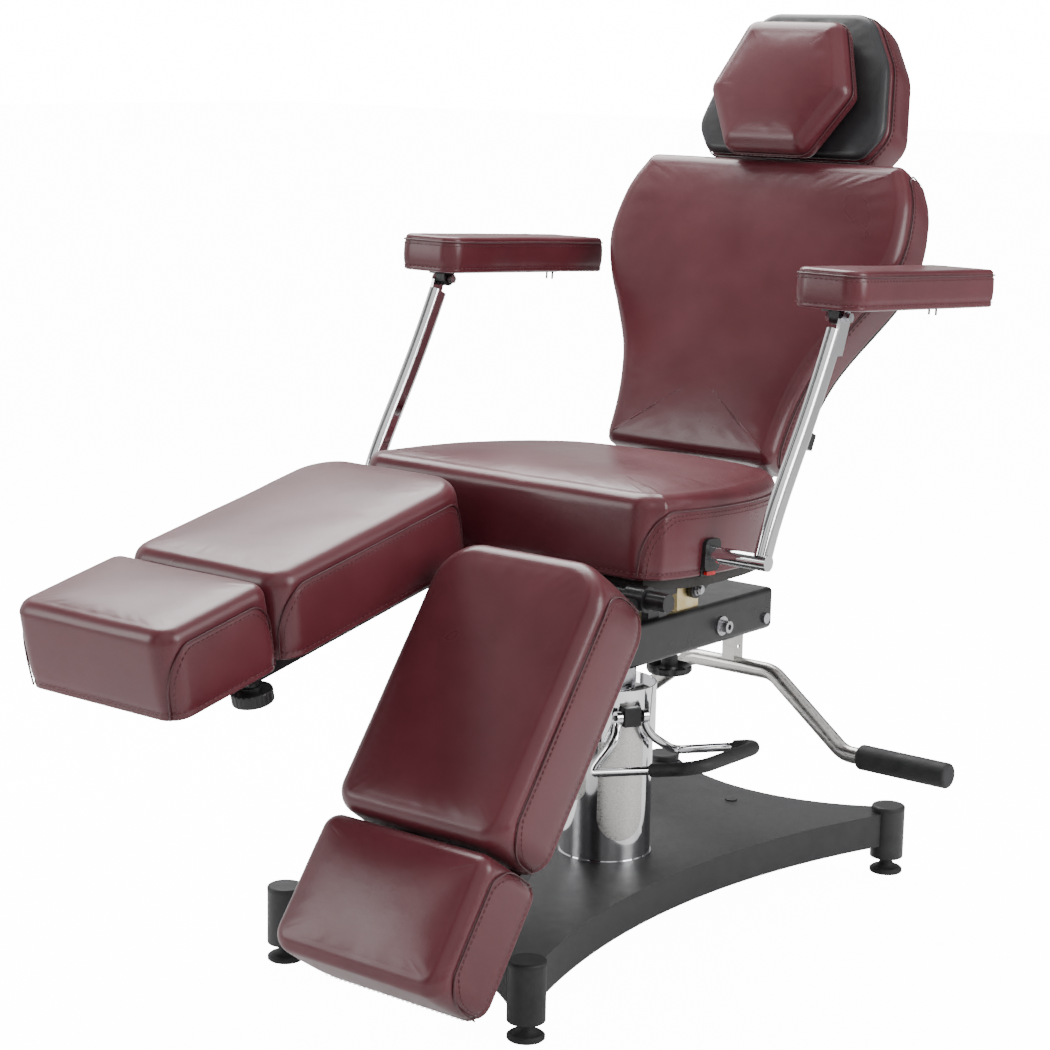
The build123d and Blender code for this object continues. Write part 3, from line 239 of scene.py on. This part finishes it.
def tube(name, pts, r, mat, closed=False, sides=8):
    """Round cord along a polyline, pts in metres."""
    pts = np.array(pts)
    n = len(pts)
    verts, faces = [], []
    prev = None
    for i in range(n):
        if closed:
            t = pts[(i + 1) % n] - pts[i - 1]
        else:
            t = pts[min(i + 1, n - 1)] - pts[max(i - 1, 0)]
        t = t / (np.linalg.norm(t) + 1e-12)
        if prev is None:
            a = np.cross(t, [0, 0, 1])
            if np.linalg.norm(a) < 0.1:
                a = np.cross(t, [0, 1, 0])
        else:
            a = prev - t * (prev @ t)
        a /= np.linalg.norm(a)
        prev = a
        b = np.cross(t, a)
        for k in range(sides):
            g = 2 * math.pi * k / sides
            verts.append(pts[i] + r * (math.cos(g) * a + math.sin(g) * b))
    last = n if closed else n - 1
    for i in range(last):
        j = (i + 1) % n
        for k in range(sides):
            l = (k + 1) % sides
            faces.append((i * sides + k, i * sides + l, j * sides + l, j * sides + k))
    if not closed:
        faces.append(tuple(range(sides))[::-1])
        faces.append(tuple((n - 1) * sides + k for k in range(sides)))
    return mesh_obj(name, verts, faces, [mat])


def dashes(name, runs, mat, pitch=8.0, length=5.0, w=0.55):
    """Stitches: short rounded bars along runs of (points, normals), in metres."""
    verts, faces = [], []
    for pts, nor in runs:
        d = np.linalg.norm(np.diff(pts, axis=0), axis=1)
        s = np.concatenate([[0], np.cumsum(d)])
        k = 0.0
        while k + length * MM < s[-1]:
            ends = []
            for u in (k, k + length * MM / 2, k + length * MM):
                ends.append((np.array([np.interp(u, s, pts[:, c]) for c in range(3)]),
                             np.array([np.interp(u, s, nor[:, c]) for c in range(3)])))
            t = ends[2][0] - ends[0][0]
            t = t / (np.linalg.norm(t) + 1e-12)
            base = len(verts)
            for q, (p, nn) in enumerate(ends):
                nn = nn / (np.linalg.norm(nn) + 1e-12)
                b = np.cross(t, nn)
                lift = 0.0006 if q == 1 else 0.0001
                rr = w * MM * (1.0 if q == 1 else 0.75)
                for g in range(6):
                    a = 2 * math.pi * g / 6
                    verts.append(p + nn * lift + rr * (math.cos(a) * b + math.sin(a) * nn))
            for q in range(2):
                for g in range(6):
                    h = (g + 1) % 6
                    faces.append((base + q * 6 + g, base + q * 6 + h, base + q * 6 + 6 + h, base + q * 6 + 6 + g))
            faces.append(tuple(base + g for g in range(6))[::-1])
            faces.append(tuple(base + 12 + g for g in range(6)))
            k += pitch * MM
    return mesh_obj(name, verts, faces, [mat]) if verts else None


class Pad:
    """Upholstered pad over an outline in a local plane. Sizes in mm; x across, s along, h out of the plane."""

    def __init__(self, name, outline, origin, ex, es, en, thick, edge, crown, centre, bulge=2.0, base=0.0, step=4.0,
                 seed=0, round_bottom=4.0, wrinkle=0.5, pucker=0.5, soft=34.0):
        self.soft = soft
        self.name, self.T, self.edge, self.crown, self.bulge, self.base = name, thick, edge, crown, bulge, base
        area = 0.5 * np.sum(outline[:, 0] * np.roll(outline[:, 1], -1) - np.roll(outline[:, 0], -1) * outline[:, 1])
        if area < 0:
            outline = outline[::-1]
        self.out, self.u, self.L = resample(outline, step)
        t = np.roll(self.out, -1, 0) - np.roll(self.out, 1, 0)
        t /= np.linalg.norm(t, axis=1)[:, None]
        n = np.stack([t[:, 1], -t[:, 0]], 1)
        for _ in range(2):
            n = n * 0.5 + (np.roll(n, 1, 0) + np.roll(n, -1, 0)) * 0.25
            n /= np.linalg.norm(n, axis=1)[:, None]
        self.nor = n
        self.o, self.ex, self.es, self.en = (np.array(v, float) for v in (origin, ex, es, en))
        self.centre, self.step, self.seed, self.rb = centre, step, seed, round_bottom
        self.wrinkle, self.pucker = wrinkle, pucker
        self.grooves = []
        self.extra = []

    def world(self, x, s, h):
        return (self.o + self.ex * x + self.es * s + self.en * h) * MM

    def wall(self, u, h, off=0.0):
        """World point and normal on the side wall at arc length u and height h."""
        u = u % self.L
        uu = np.concatenate([self.u, [self.L]])
        px = np.interp(u, uu, np.append(self.out[:, 0], self.out[0, 0]))
        ps = np.interp(u, uu, np.append(self.out[:, 1], self.out[0, 1]))
        nx = np.interp(u, uu, np.append(self.nor[:, 0], self.nor[0, 0]))
        ns = np.interp(u, uu, np.append(self.nor[:, 1], self.nor[0, 1]))
        k = math.hypot(nx, ns)
        nx, ns = nx / k, ns / k
        d = self.side_off(h) + off
        return self.world(px + nx * d, ps + ns * d, self.base + h), self.ex * nx + self.es * ns

    def side_off(self, h):
        b = self.bulge * math.sin(math.pi * min(max(h / self.T, 0), 1))
        if h > self.T - self.edge:
            y = (h - (self.T - self.edge)) / self.edge
            b -= self.edge * (1 - math.sqrt(max(0.0, 1 - y * y)))
        if h < self.rb:
            y = (self.rb - h) / self.rb
            b -= self.rb * (1 - math.sqrt(max(0.0, 1 - y * y)))
        return b

    def sides(self, sign, grow=8.0, lim=0.8):
        """Arc lengths where the run of wall facing sign*x begins and ends."""
        good = self.nor[:, 0] * sign > lim
        n = len(good)
        best = (0, 0)
        i = 0
        start = next((k for k in range(n) if not good[k]), 0)
        run = 0
        for k in range(start, start + n + 1):
            if good[k % n] and k < start + n:
                run += 1
            else:
                if run > best[1]:
                    best = (k - run, run)
                run = 0
        a, c = best
        du = self.L / n
        return a * du - grow, (a + c - 1) * du + grow

    def seam(self, sign, top=20.0, low=7.0, corner=46.0, grow=8.0, lim=0.8, ends=(True, True), pipe=True, stitch=True,
             double=False):
        """Panel seam that runs under the top edge and turns down round the corners."""
        a, c = self.sides(sign, grow, lim)

        def path(inset, off):
            res = []
            m = int((c - a) / 3.0)
            for k in range(m + 1):
                u = a + inset + (c - a - 2 * inset) * k / m
                e0 = (u - a - inset) / corner if ends[0] else 2
                e1 = (c - inset - u) / corner if ends[1] else 2
                e = max(0.0, min(e0, e1, 1.0))
                hi = self.T - top - inset
                h = low + (hi - low) * math.sqrt(max(0.0, 1 - (1 - e) ** 2))
                if ends[0] and k == 0 or ends[1] and k == m:
                    h = low * 0.4
                res.append((u, h))
            return res
        main = path(0, 0)
        # the drop at a corner is steep in u, so points are spread evenly along the line
        arr = np.array(main)
        arr, _, _ = resample(arr, 3.0, closed=False)
        self.grooves.append(arr)
        if pipe:
            pts = np.array([self.wall(u, h, 0.35)[0] for u, h in arr])
            self.extra.append(tube(self.name + "_piping%d" % len(self.extra), pts, 1.25 * MM, PIPING))
        if stitch:
            runs = []
            for ins in ((6.5, 12.0) if double else (6.5,)):
                q, _, _ = resample(np.array(path(ins, 0)), 3.0, closed=False)
                w = [self.wall(u, h, 0.15) for u, h in q]
                runs.append((np.array([x[0] for x in w]), np.array([x[1] for x in w])))
            o = dashes(self.name + "_stitch%d" % len(self.extra), runs, THREAD)
            if o:
                self.extra.append(o)

    def band(self, h, pipe=True, stitch=6.0, a=None, c=None):
        """Seam at one height, all round or between two arc lengths."""
        if a is None:
            us = np.linspace(0, self.L, int(self.L / 3))[:-1]
            closed = True
        else:
            us = np.linspace(a, c, int((c - a) / 3))
            closed = False
        self.grooves.append(np.array([(u, h) for u in us]))
        if pipe:
            pts = np.array([self.wall(u, h, 0.35)[0] for u in us])
            self.extra.append(tube(self.name + "_piping%d" % len(self.extra), pts, 1.25 * MM, PIPING, closed=closed))
        if stitch:
            w = [self.wall(u, h - stitch, 0.15) for u in us]
            o = dashes(self.name + "_stitch%d" % len(self.extra), [(np.array([x[0] for x in w]), np.array([x[1] for x in w]))], THREAD)
            if o:
                self.extra.append(o)

    def build(self, mat, dents=()):
        T, re = self.T, self.edge
        prof = [(0.0, 0, "b")]
        hs = list(np.linspace(0, self.rb, 4)) + list(np.linspace(self.rb, T - re, max(4, int((T - re - self.rb) / self.step)))[1:])
        rings = []
        n = len(self.out)
        for h in hs:
            rings.append((np.full(n, self.side_off(h)), np.full(n, h)))
        for k in range(1, 9):
            g = math.pi / 2 * k / 8
            h = T - re + re * math.sin(g)
            b = self.bulge * math.sin(math.pi * min(h / T, 1)) - re * (1 - math.cos(g))
            rings.append((np.full(n, b), np.full(n, h)))
        # groove displacement on the wall
        grooves = [g for g in self.grooves]
        pos = []
        for off, h in rings:
            off = off.copy()
            for g in grooves:
                du = np.abs(((self.u[:, None] - (g[:, 0] % self.L)[None, :]) + self.L / 2) % self.L - self.L / 2)
                d2 = (du ** 2 + (h[:, None] - g[None, :, 1]) ** 2).min(1)
                off -= 1.5 * np.exp(-d2 / 12.0) + 0.5 * np.exp(-d2 / 150.0)
            x = self.out[:, 0] + self.nor[:, 0] * off
            s = self.out[:, 1] + self.nor[:, 1] * off
            pos.append(np.stack([x, s, h], 1))
        edge_ring = pos[-1]
        cx = np.full(n, self.centre[0])
        cs = np.clip(edge_ring[:, 1], self.centre[1], self.centre[2])
        far = np.hypot(edge_ring[:, 0] - cx, edge_ring[:, 1] - cs).max()
        m = max(10, int(far / (self.step * 1.3)))
        seg = self.L / n
        eo = edge_ring[:, :2]
        for k in range(1, m + 1):
            t = 0.93 * (k / m) ** 0.92
            x = edge_ring[:, 0] * (1 - t) + cx * t
            s = edge_ring[:, 1] * (1 - t) + cs * t
            # smooth distance from the edge, so no ridges run in from the corners
            d2 = (x[:, None] - eo[None, :, 0]) ** 2 + (s[:, None] - eo[None, :, 1]) ** 2
            w = math.pi / (seg / (d2 + (0.35 * seg) ** 2)).sum(1)
            h = T + self.crown * (1 - np.exp(-w / self.soft))
            # gathers run in from the edge and die out
            pk = self.pucker * math.exp(-((t - 0.10) / 0.10) ** 2)
            h = h + pk * np.array([noise.noise(Vector((u * 0.055, self.seed, 0.3))) for u in self.u])
            pos.append(np.stack([x, s, h], 1))
        verts = []
        for r in pos:
            for x, s, h in r:
                q = Vector((x * 0.011 + self.seed * 3.1, s * 0.011, h * 0.011))
                q2 = Vector((x * 0.03 + self.seed, s * 0.05, h * 0.03))
                d = self.wrinkle * (noise.noise(q) * 1.3 + 0.16 * noise.noise(q2))
                if h < self.rb + 4:
                    d = 0.0
                hh = h + (d if h > T - re else 0)
                for (dx, ds, dr, dd) in dents:
                    rr = ((x - dx) ** 2 + (s - ds) ** 2) / (dr * dr)
                    if h > T - re * 0.5:
                        hh -= dd * math.exp(-rr)
                if h <= T - re:
                    ang = d * 0.8
                else:
                    ang = 0
                verts.append((x, s, hh, ang))
        out = []
        for i, (x, s, h, ang) in enumerate(verts):
            k = i % n
            if ang:
                x += self.nor[k, 0] * ang
                s += self.nor[k, 1] * ang
            out.append(self.world(x, s, self.base + h))
        faces = []
        R = len(pos)
        for r in range(R - 1):
            for k in range(n):
                l = (k + 1) % n
                faces.append((r * n + k, r * n + l, (r + 1) * n + l, (r + 1) * n + k))
        # bottom: shrink to the middle line
        b0 = pos[0]
        idx = len(out)
        prev = 0
        for t in (0.15, 0.5, 0.93):
            cs0 = np.clip(b0[:, 1], self.centre[1], self.centre[2])
            x = b0[:, 0] * (1 - t) + self.centre[0] * t
            s = b0[:, 1] * (1 - t) + cs0 * t
            start = len(out)
            for k in range(n):
                out.append(self.world(x[k], s[k], self.base))
            for k in range(n):
                l = (k + 1) % n
                faces.append((prev + l, prev + k, start + k, start + l))
            prev = start
        ob = mesh_obj(self.name, out, faces, [mat])
        import bmesh
        bm = bmesh.new()
        bm.from_mesh(ob.data)
        bmesh.ops.remove_doubles(bm, verts=bm.verts, dist=0.0006)
        # close the middle of the top and of the bottom, then relax the top one
        rim = [e for e in bm.edges if len(e.link_faces) == 1]
        caps = bmesh.ops.holes_fill(bm, edges=rim, sides=0)["faces"]
        bmesh.ops.triangulate(bm, faces=caps)
        mid = []
        for v in bm.verts:
            q = np.array(v.co) / MM - self.o
            x, sv, h = q @ self.ex, q @ self.es, q @ self.en - self.base
            if h > 0.7 * T and math.hypot(x - self.centre[0], sv - min(max(sv, self.centre[1]), self.centre[2])) < 26:
                mid.append(v)
        for _ in range(5):
            bmesh.ops.smooth_vert(bm, verts=mid, factor=0.5, use_axis_x=True, use_axis_y=True, use_axis_z=True)
        bmesh.ops.recalc_face_normals(bm, faces=bm.faces)
        bm.to_mesh(ob.data)
        bm.free()
        ob.data.polygons.foreach_set("use_smooth", [True] * len(ob.data.polygons))
        self.obj = ob
        return ob

    def finish(self, node, body):
        for e in self.extra:
            e.parent = self.obj
        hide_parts(node)
        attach(self.obj, body)


# ------------------------------------------------------------------ seat cushion
T0 = math.radians(3.5)
S_O = (0, YC * 1000, 556)
S_N = (0, math.sin(T0), math.cos(T0))
S_S = (0, math.cos(T0), -math.sin(T0))
side = [(236, -262), (257, -236), (262, -190), (262, -120), (256, -60), (244, 0), (224, 60), (196, 112), (164, 150)]
right = catmull(side[1:], 8)
outline = np.vstack([rounded([(0, -262), (238, -262), (259, -222)], [0, 30, 0])[1:-1], right,
                     [(156, 158), (143, 162)], [(-143, 162), (-156, 158)], right[::-1] * [-1, 1],
                     rounded([(-259, -222), (-238, -262), (0, -262)], [0, 30, 0])[1:-1]])
seat = Pad("seat_upholstery", outline, S_O, (1, 0, 0), S_S, S_N, 112, 21, 18, (0, -120, 20), bulge=0.6, seed=1,
           soft=48.0, wrinkle=0.8, pucker=0.45)
seat.seam(1, top=22, corner=52, grow=6, ends=(True, False), lim=0.55, double=True)
seat.seam(-1, top=22, corner=52, grow=6, ends=(False, True), lim=0.55, double=True)
seat.band(9, pipe=False, stitch=0.1)
seat.build(MAT["wine_leather"])
seat.finish("seat_cushion", "seat")

# ------------------------------------------------------------------ back rest cushion
A = math.radians(26)
B_O = (0, 171.6 + YC * 1000, 677.3)
B_N = (0, -math.cos(A), math.sin(A))
B_S = (0, math.sin(A), math.cos(A))
bside = [(149, 4), (151, 50), (158, 95), (173, 145), (205, 205), (233, 252), (253, 300), (258, 340), (252, 390),
         (242, 420)]
br = catmull(bside, 8)
boutline = np.vstack([[(-136, -13), (0, -14), (136, -13), (145, -9)], br, rounded([(242, 420), (222, 455), (0, 456)], [0, 16, 0])[1:-1],
                      rounded([(0, 456), (-222, 455), (-242, 420)], [0, 16, 0])[1:-1], br[::-1] * [-1, 1], [(-145, -9)]])
back = Pad("back_upholstery", boutline, B_O, (1, 0, 0), B_S, B_N, 80, 20, 8, (0, 100, 330), base=-80, bulge=1.5, soft=45.0,
           seed=2, wrinkle=0.8, pucker=0.45)
back.seam(1, top=24, corner=30, grow=4, lim=0.45, pipe=True)
back.seam(-1, top=24, corner=30, grow=4, lim=0.45, pipe=True)
back.build(MAT["wine_leather"])
back.finish("back_cushion", "back")

# ------------------------------------------------------------------ head rest
H = math.radians(22.9)
H_O = (0, 397 + YC * 1000, 1089)
H_N = (0, -math.cos(H), math.sin(H))
H_S = (0, math.sin(H), math.cos(H))
hexo = rounded([(-138, 0), (138, 0), (167, 42), (144, 150), (94, 229), (-94, 229), (-144, 150), (-167, 42)], [26, 26, 40, 85, 46, 46, 85, 40])
head = Pad("head_upholstery", hexo, H_O, (1, 0, 0), H_S, H_N, 64.6, 7, 0, (0, 100, 130), base=-80, bulge=3.0, seed=3)
head.band(56, pipe=True, stitch=6)
head.build(MAT["wine_leather"])
head.finish("head_cushion", "head")
hexi = rounded([(-136, 1), (136, 1), (165, 42), (142, 149), (92, 228), (-92, 228), (-142, 149), (-165, 42)], [26, 26, 40, 85, 46, 46, 85, 40])
ins = Pad("head_insert_upholstery", hexi, H_O, (1, 0, 0), H_S, H_N, 15.0, 11, 5, (0, 100, 130), base=-15.0, round_bottom=2.0,
          bulge=0.8, seed=4)
ins.build(MAT["black_leather"])
ins.finish("head_insert", "head")
hexp = rounded([(-66, -8), (66, -8), (118, 84), (78, 190), (-78, 190), (-118, 84)], 18)
pil = Pad("pillow_upholstery", hexp, H_O, (1, 0, 0), H_S, H_N, 56, 20, 8, (0, 70, 100), base=5, bulge=5, seed=5,
          round_bottom=14, wrinkle=0.8, pucker=0.5)
pil.band(28, pipe=True, stitch=6)
pil.build(MAT["wine_leather"])
pil.finish("neck_pillow", "head")

# ------------------------------------------------------------------ leg and foot pads
for tag, sg, drop in (("l", 1, 54.6), ("r", -1, 12.1)):
    a = math.radians(drop)
    L_O = (0, -256 + YC * 1000, 549)
    L_S = (0, -math.cos(a), -math.sin(a))
    L_N = (0, -math.sin(a), math.cos(a))
    ol = rounded([(sg * 10, 12), (sg * 285, 12), (sg * 285, 394), (sg * 10, 394)], [64, 64, 34, 34])
    leg = Pad("leg_upholstery_" + tag, ol, L_O, (1, 0, 0), L_S, L_N, 115, 21, 7, (sg * 147.5, 150, 270), base=24,
              bulge=1.5, seed=6 + sg, wrinkle=0.8, pucker=0.4)
    leg.seam(1, top=22, corner=50, grow=16, lim=0.8)
    leg.seam(-1, top=22, corner=50, grow=16, lim=0.8)
    leg.band(9, pipe=False, stitch=0.1)
    leg.build(MAT["wine_leather"])
    leg.finish("leg_pad_" + tag, "leg_" + tag)
    of_ = rounded([(sg * 12, 402), (sg * 283, 402), (sg * 285, 585), (sg * 10, 585)], [22, 22, 28, 28])
    foot = Pad("foot_upholstery_" + tag, of_, L_O, (1, 0, 0), L_S, L_N, 115, 18, 8, (sg * 147.5, 480, 505), base=24,
               bulge=1.5, seed=8 + sg, wrinkle=0.8, pucker=0.4)
    foot.seam(1, top=22, corner=40, grow=14, lim=0.8)
    foot.seam(-1, top=22, corner=40, grow=14, lim=0.8)
    foot.band(9, pipe=False, stitch=0.1)
    foot.build(MAT["wine_leather"])
    foot.finish("foot_pad_" + tag, "foot_rest_" + tag)

# ------------------------------------------------------------------ arm pads
P = math.radians(3.0)
for tag, sg in (("l", 1), ("r", -1)):
    A_O = (sg * 346, 28 + YC * 1000, 911)
    A_S = (0, math.cos(P), -math.sin(P))
    A_N = (0, math.sin(P), math.cos(P))
    i = -sg
    inner = catmull([(i * 53, 312), (i * 50, 250), (i * 44, 185), (i * 46, 110), (i * 52, 50), (i * 53, 8)], 8)
    ao = np.vstack([inner, rounded([(i * 53, 8), (i * 53, -45), (-i * 53, -45), (-i * 53, 8)], [0, 46, 46, 0])[1:-1],
                    rounded([(-i * 53, 8), (-i * 53, 321), (i * 53, 321), (i * 53, 312)], [0, 9, 9, 0])])
    arm = Pad("arm_upholstery_" + tag, ao, A_O, (1, 0, 0), A_S, A_N, 53, 8, 2.2, (0, 20, 270), bulge=1.0, seed=10 + sg,
              step=3.5, wrinkle=0.4, pucker=0.4)
    arm.band(45, pipe=True, stitch=5.5)
    arm.band(7, pipe=False, stitch=0.1)
    arm.build(MAT["wine_leather"])
    arm.finish("arm_pad_" + tag, "arm_rest_" + tag)

# ------------------------------------------------------------------ stage, light and camera
floor_m, nt, p = new_mat("floor")
p.inputs["Base Color"].default_value = (0.82, 0.82, 0.82, 1)
p.inputs["Roughness"].default_value = 0.6
lp = nt.nodes.new("ShaderNodeLightPath")
p.inputs["Emission Color"].default_value = (1, 1, 1, 1)
glow = nt.nodes.new("ShaderNodeMath")
glow.operation = "MULTIPLY"
glow.inputs[1].default_value = 14.0
nt.links.new(lp.outputs["Is Camera Ray"], glow.inputs[0])
nt.links.new(glow.outputs["Value"], p.inputs["Emission Strength"])
floor = mesh_obj("floor", [(-30, -30, -0.0005), (30, -30, -0.0005), (30, 30, -0.0005), (-30, 30, -0.0005)], [(0, 1, 2, 3)],
                 [floor_m], smooth=False)

world = bpy.data.worlds.new("studio")
bpy.context.scene.world = world
world.use_nodes = True
wt = world.node_tree
bg = wt.nodes["Background"]
bg.inputs["Color"].default_value = (1, 1, 1, 1)
wl = wt.nodes.new("ShaderNodeLightPath")
wm = wt.nodes.new("ShaderNodeMapRange")
wm.inputs["To Max"].default_value = 16.0
wt.links.new(wl.outputs["Is Camera Ray"], wm.inputs["Value"])
wt.links.new(wm.outputs["Result"], bg.inputs["Strength"])
# dark gaps between the soft boxes of the studio, for the metal to mirror
wtc = wt.nodes.new("ShaderNodeTexCoord")
wmap = wt.nodes.new("ShaderNodeMapping")
wmap.inputs["Scale"].default_value = (1.0, 1.0, 0.25)
wn = wt.nodes.new("ShaderNodeTexNoise")
wn.inputs["Scale"].default_value = 2.3
wn.inputs["Detail"].default_value = 0.0
wt.links.new(wtc.outputs["Generated"], wmap.inputs["Vector"])
wt.links.new(wmap.outputs["Vector"], wn.inputs["Vector"])
wr = wt.nodes.new("ShaderNodeMapRange")
wr.interpolation_type = "SMOOTHSTEP"
wr.inputs["From Min"].default_value = 0.42
wr.inputs["From Max"].default_value = 0.56
wr.inputs["To Min"].default_value = 0.14
wr.inputs["To Max"].default_value = 1.05
wt.links.new(wn.outputs["Fac"], wr.inputs["Value"])
wt.links.new(wr.outputs["Result"], wm.inputs["To Min"])


def area(name, loc, target, size, power, sy=None):
    d = bpy.data.lights.new(name, "AREA")
    d.energy = power
    d.shape = "RECTANGLE"
    d.size = size
    d.size_y = sy or size
    o = bpy.data.objects.new(name, d)
    o.location = loc
    o.rotation_euler = (Vector(target) - Vector(loc)).to_track_quat("-Z", "Y").to_euler()
    bpy.context.scene.collection.objects.link(o)


area("key_top", (-1.3, 0.9, 3.0), (0, 0.1, 0.6), 2.2, 150)
area("side_right", (3.0, 0.6, 1.9), (0, 0, 0.7), 1.4, 70, 2.2)
area("front_left", (-2.6, -3.0, 1.7), (0, 0, 0.6), 1.2, 45, 2.0)

az, el, rl = math.radians(38.74), math.radians(11.007), 0.0187
backv = Vector((math.sin(az) * math.cos(el), -math.cos(az) * math.cos(el), math.sin(el)))
rightv = Vector((math.cos(az), math.sin(az), 0))
upv = backv.cross(rightv)
r2 = rightv * math.cos(rl) + upv * math.sin(rl)
u2 = -rightv * math.sin(rl) + upv * math.cos(rl)
cam_d = bpy.data.cameras.new("photo_camera")
cam_d.sensor_width = 36.0
cam_d.lens = 36.0 * 2525.3 / 1050.0
cam = bpy.data.objects.new("photo_camera", cam_d)
bpy.context.scene.collection.objects.link(cam)
m = Matrix((r2, u2, backv)).transposed().to_4x4()
m.translation = Vector((2.106, -2.8229 + YC, 1.2592))
cam.matrix_world = m
bpy.context.scene.camera = cam
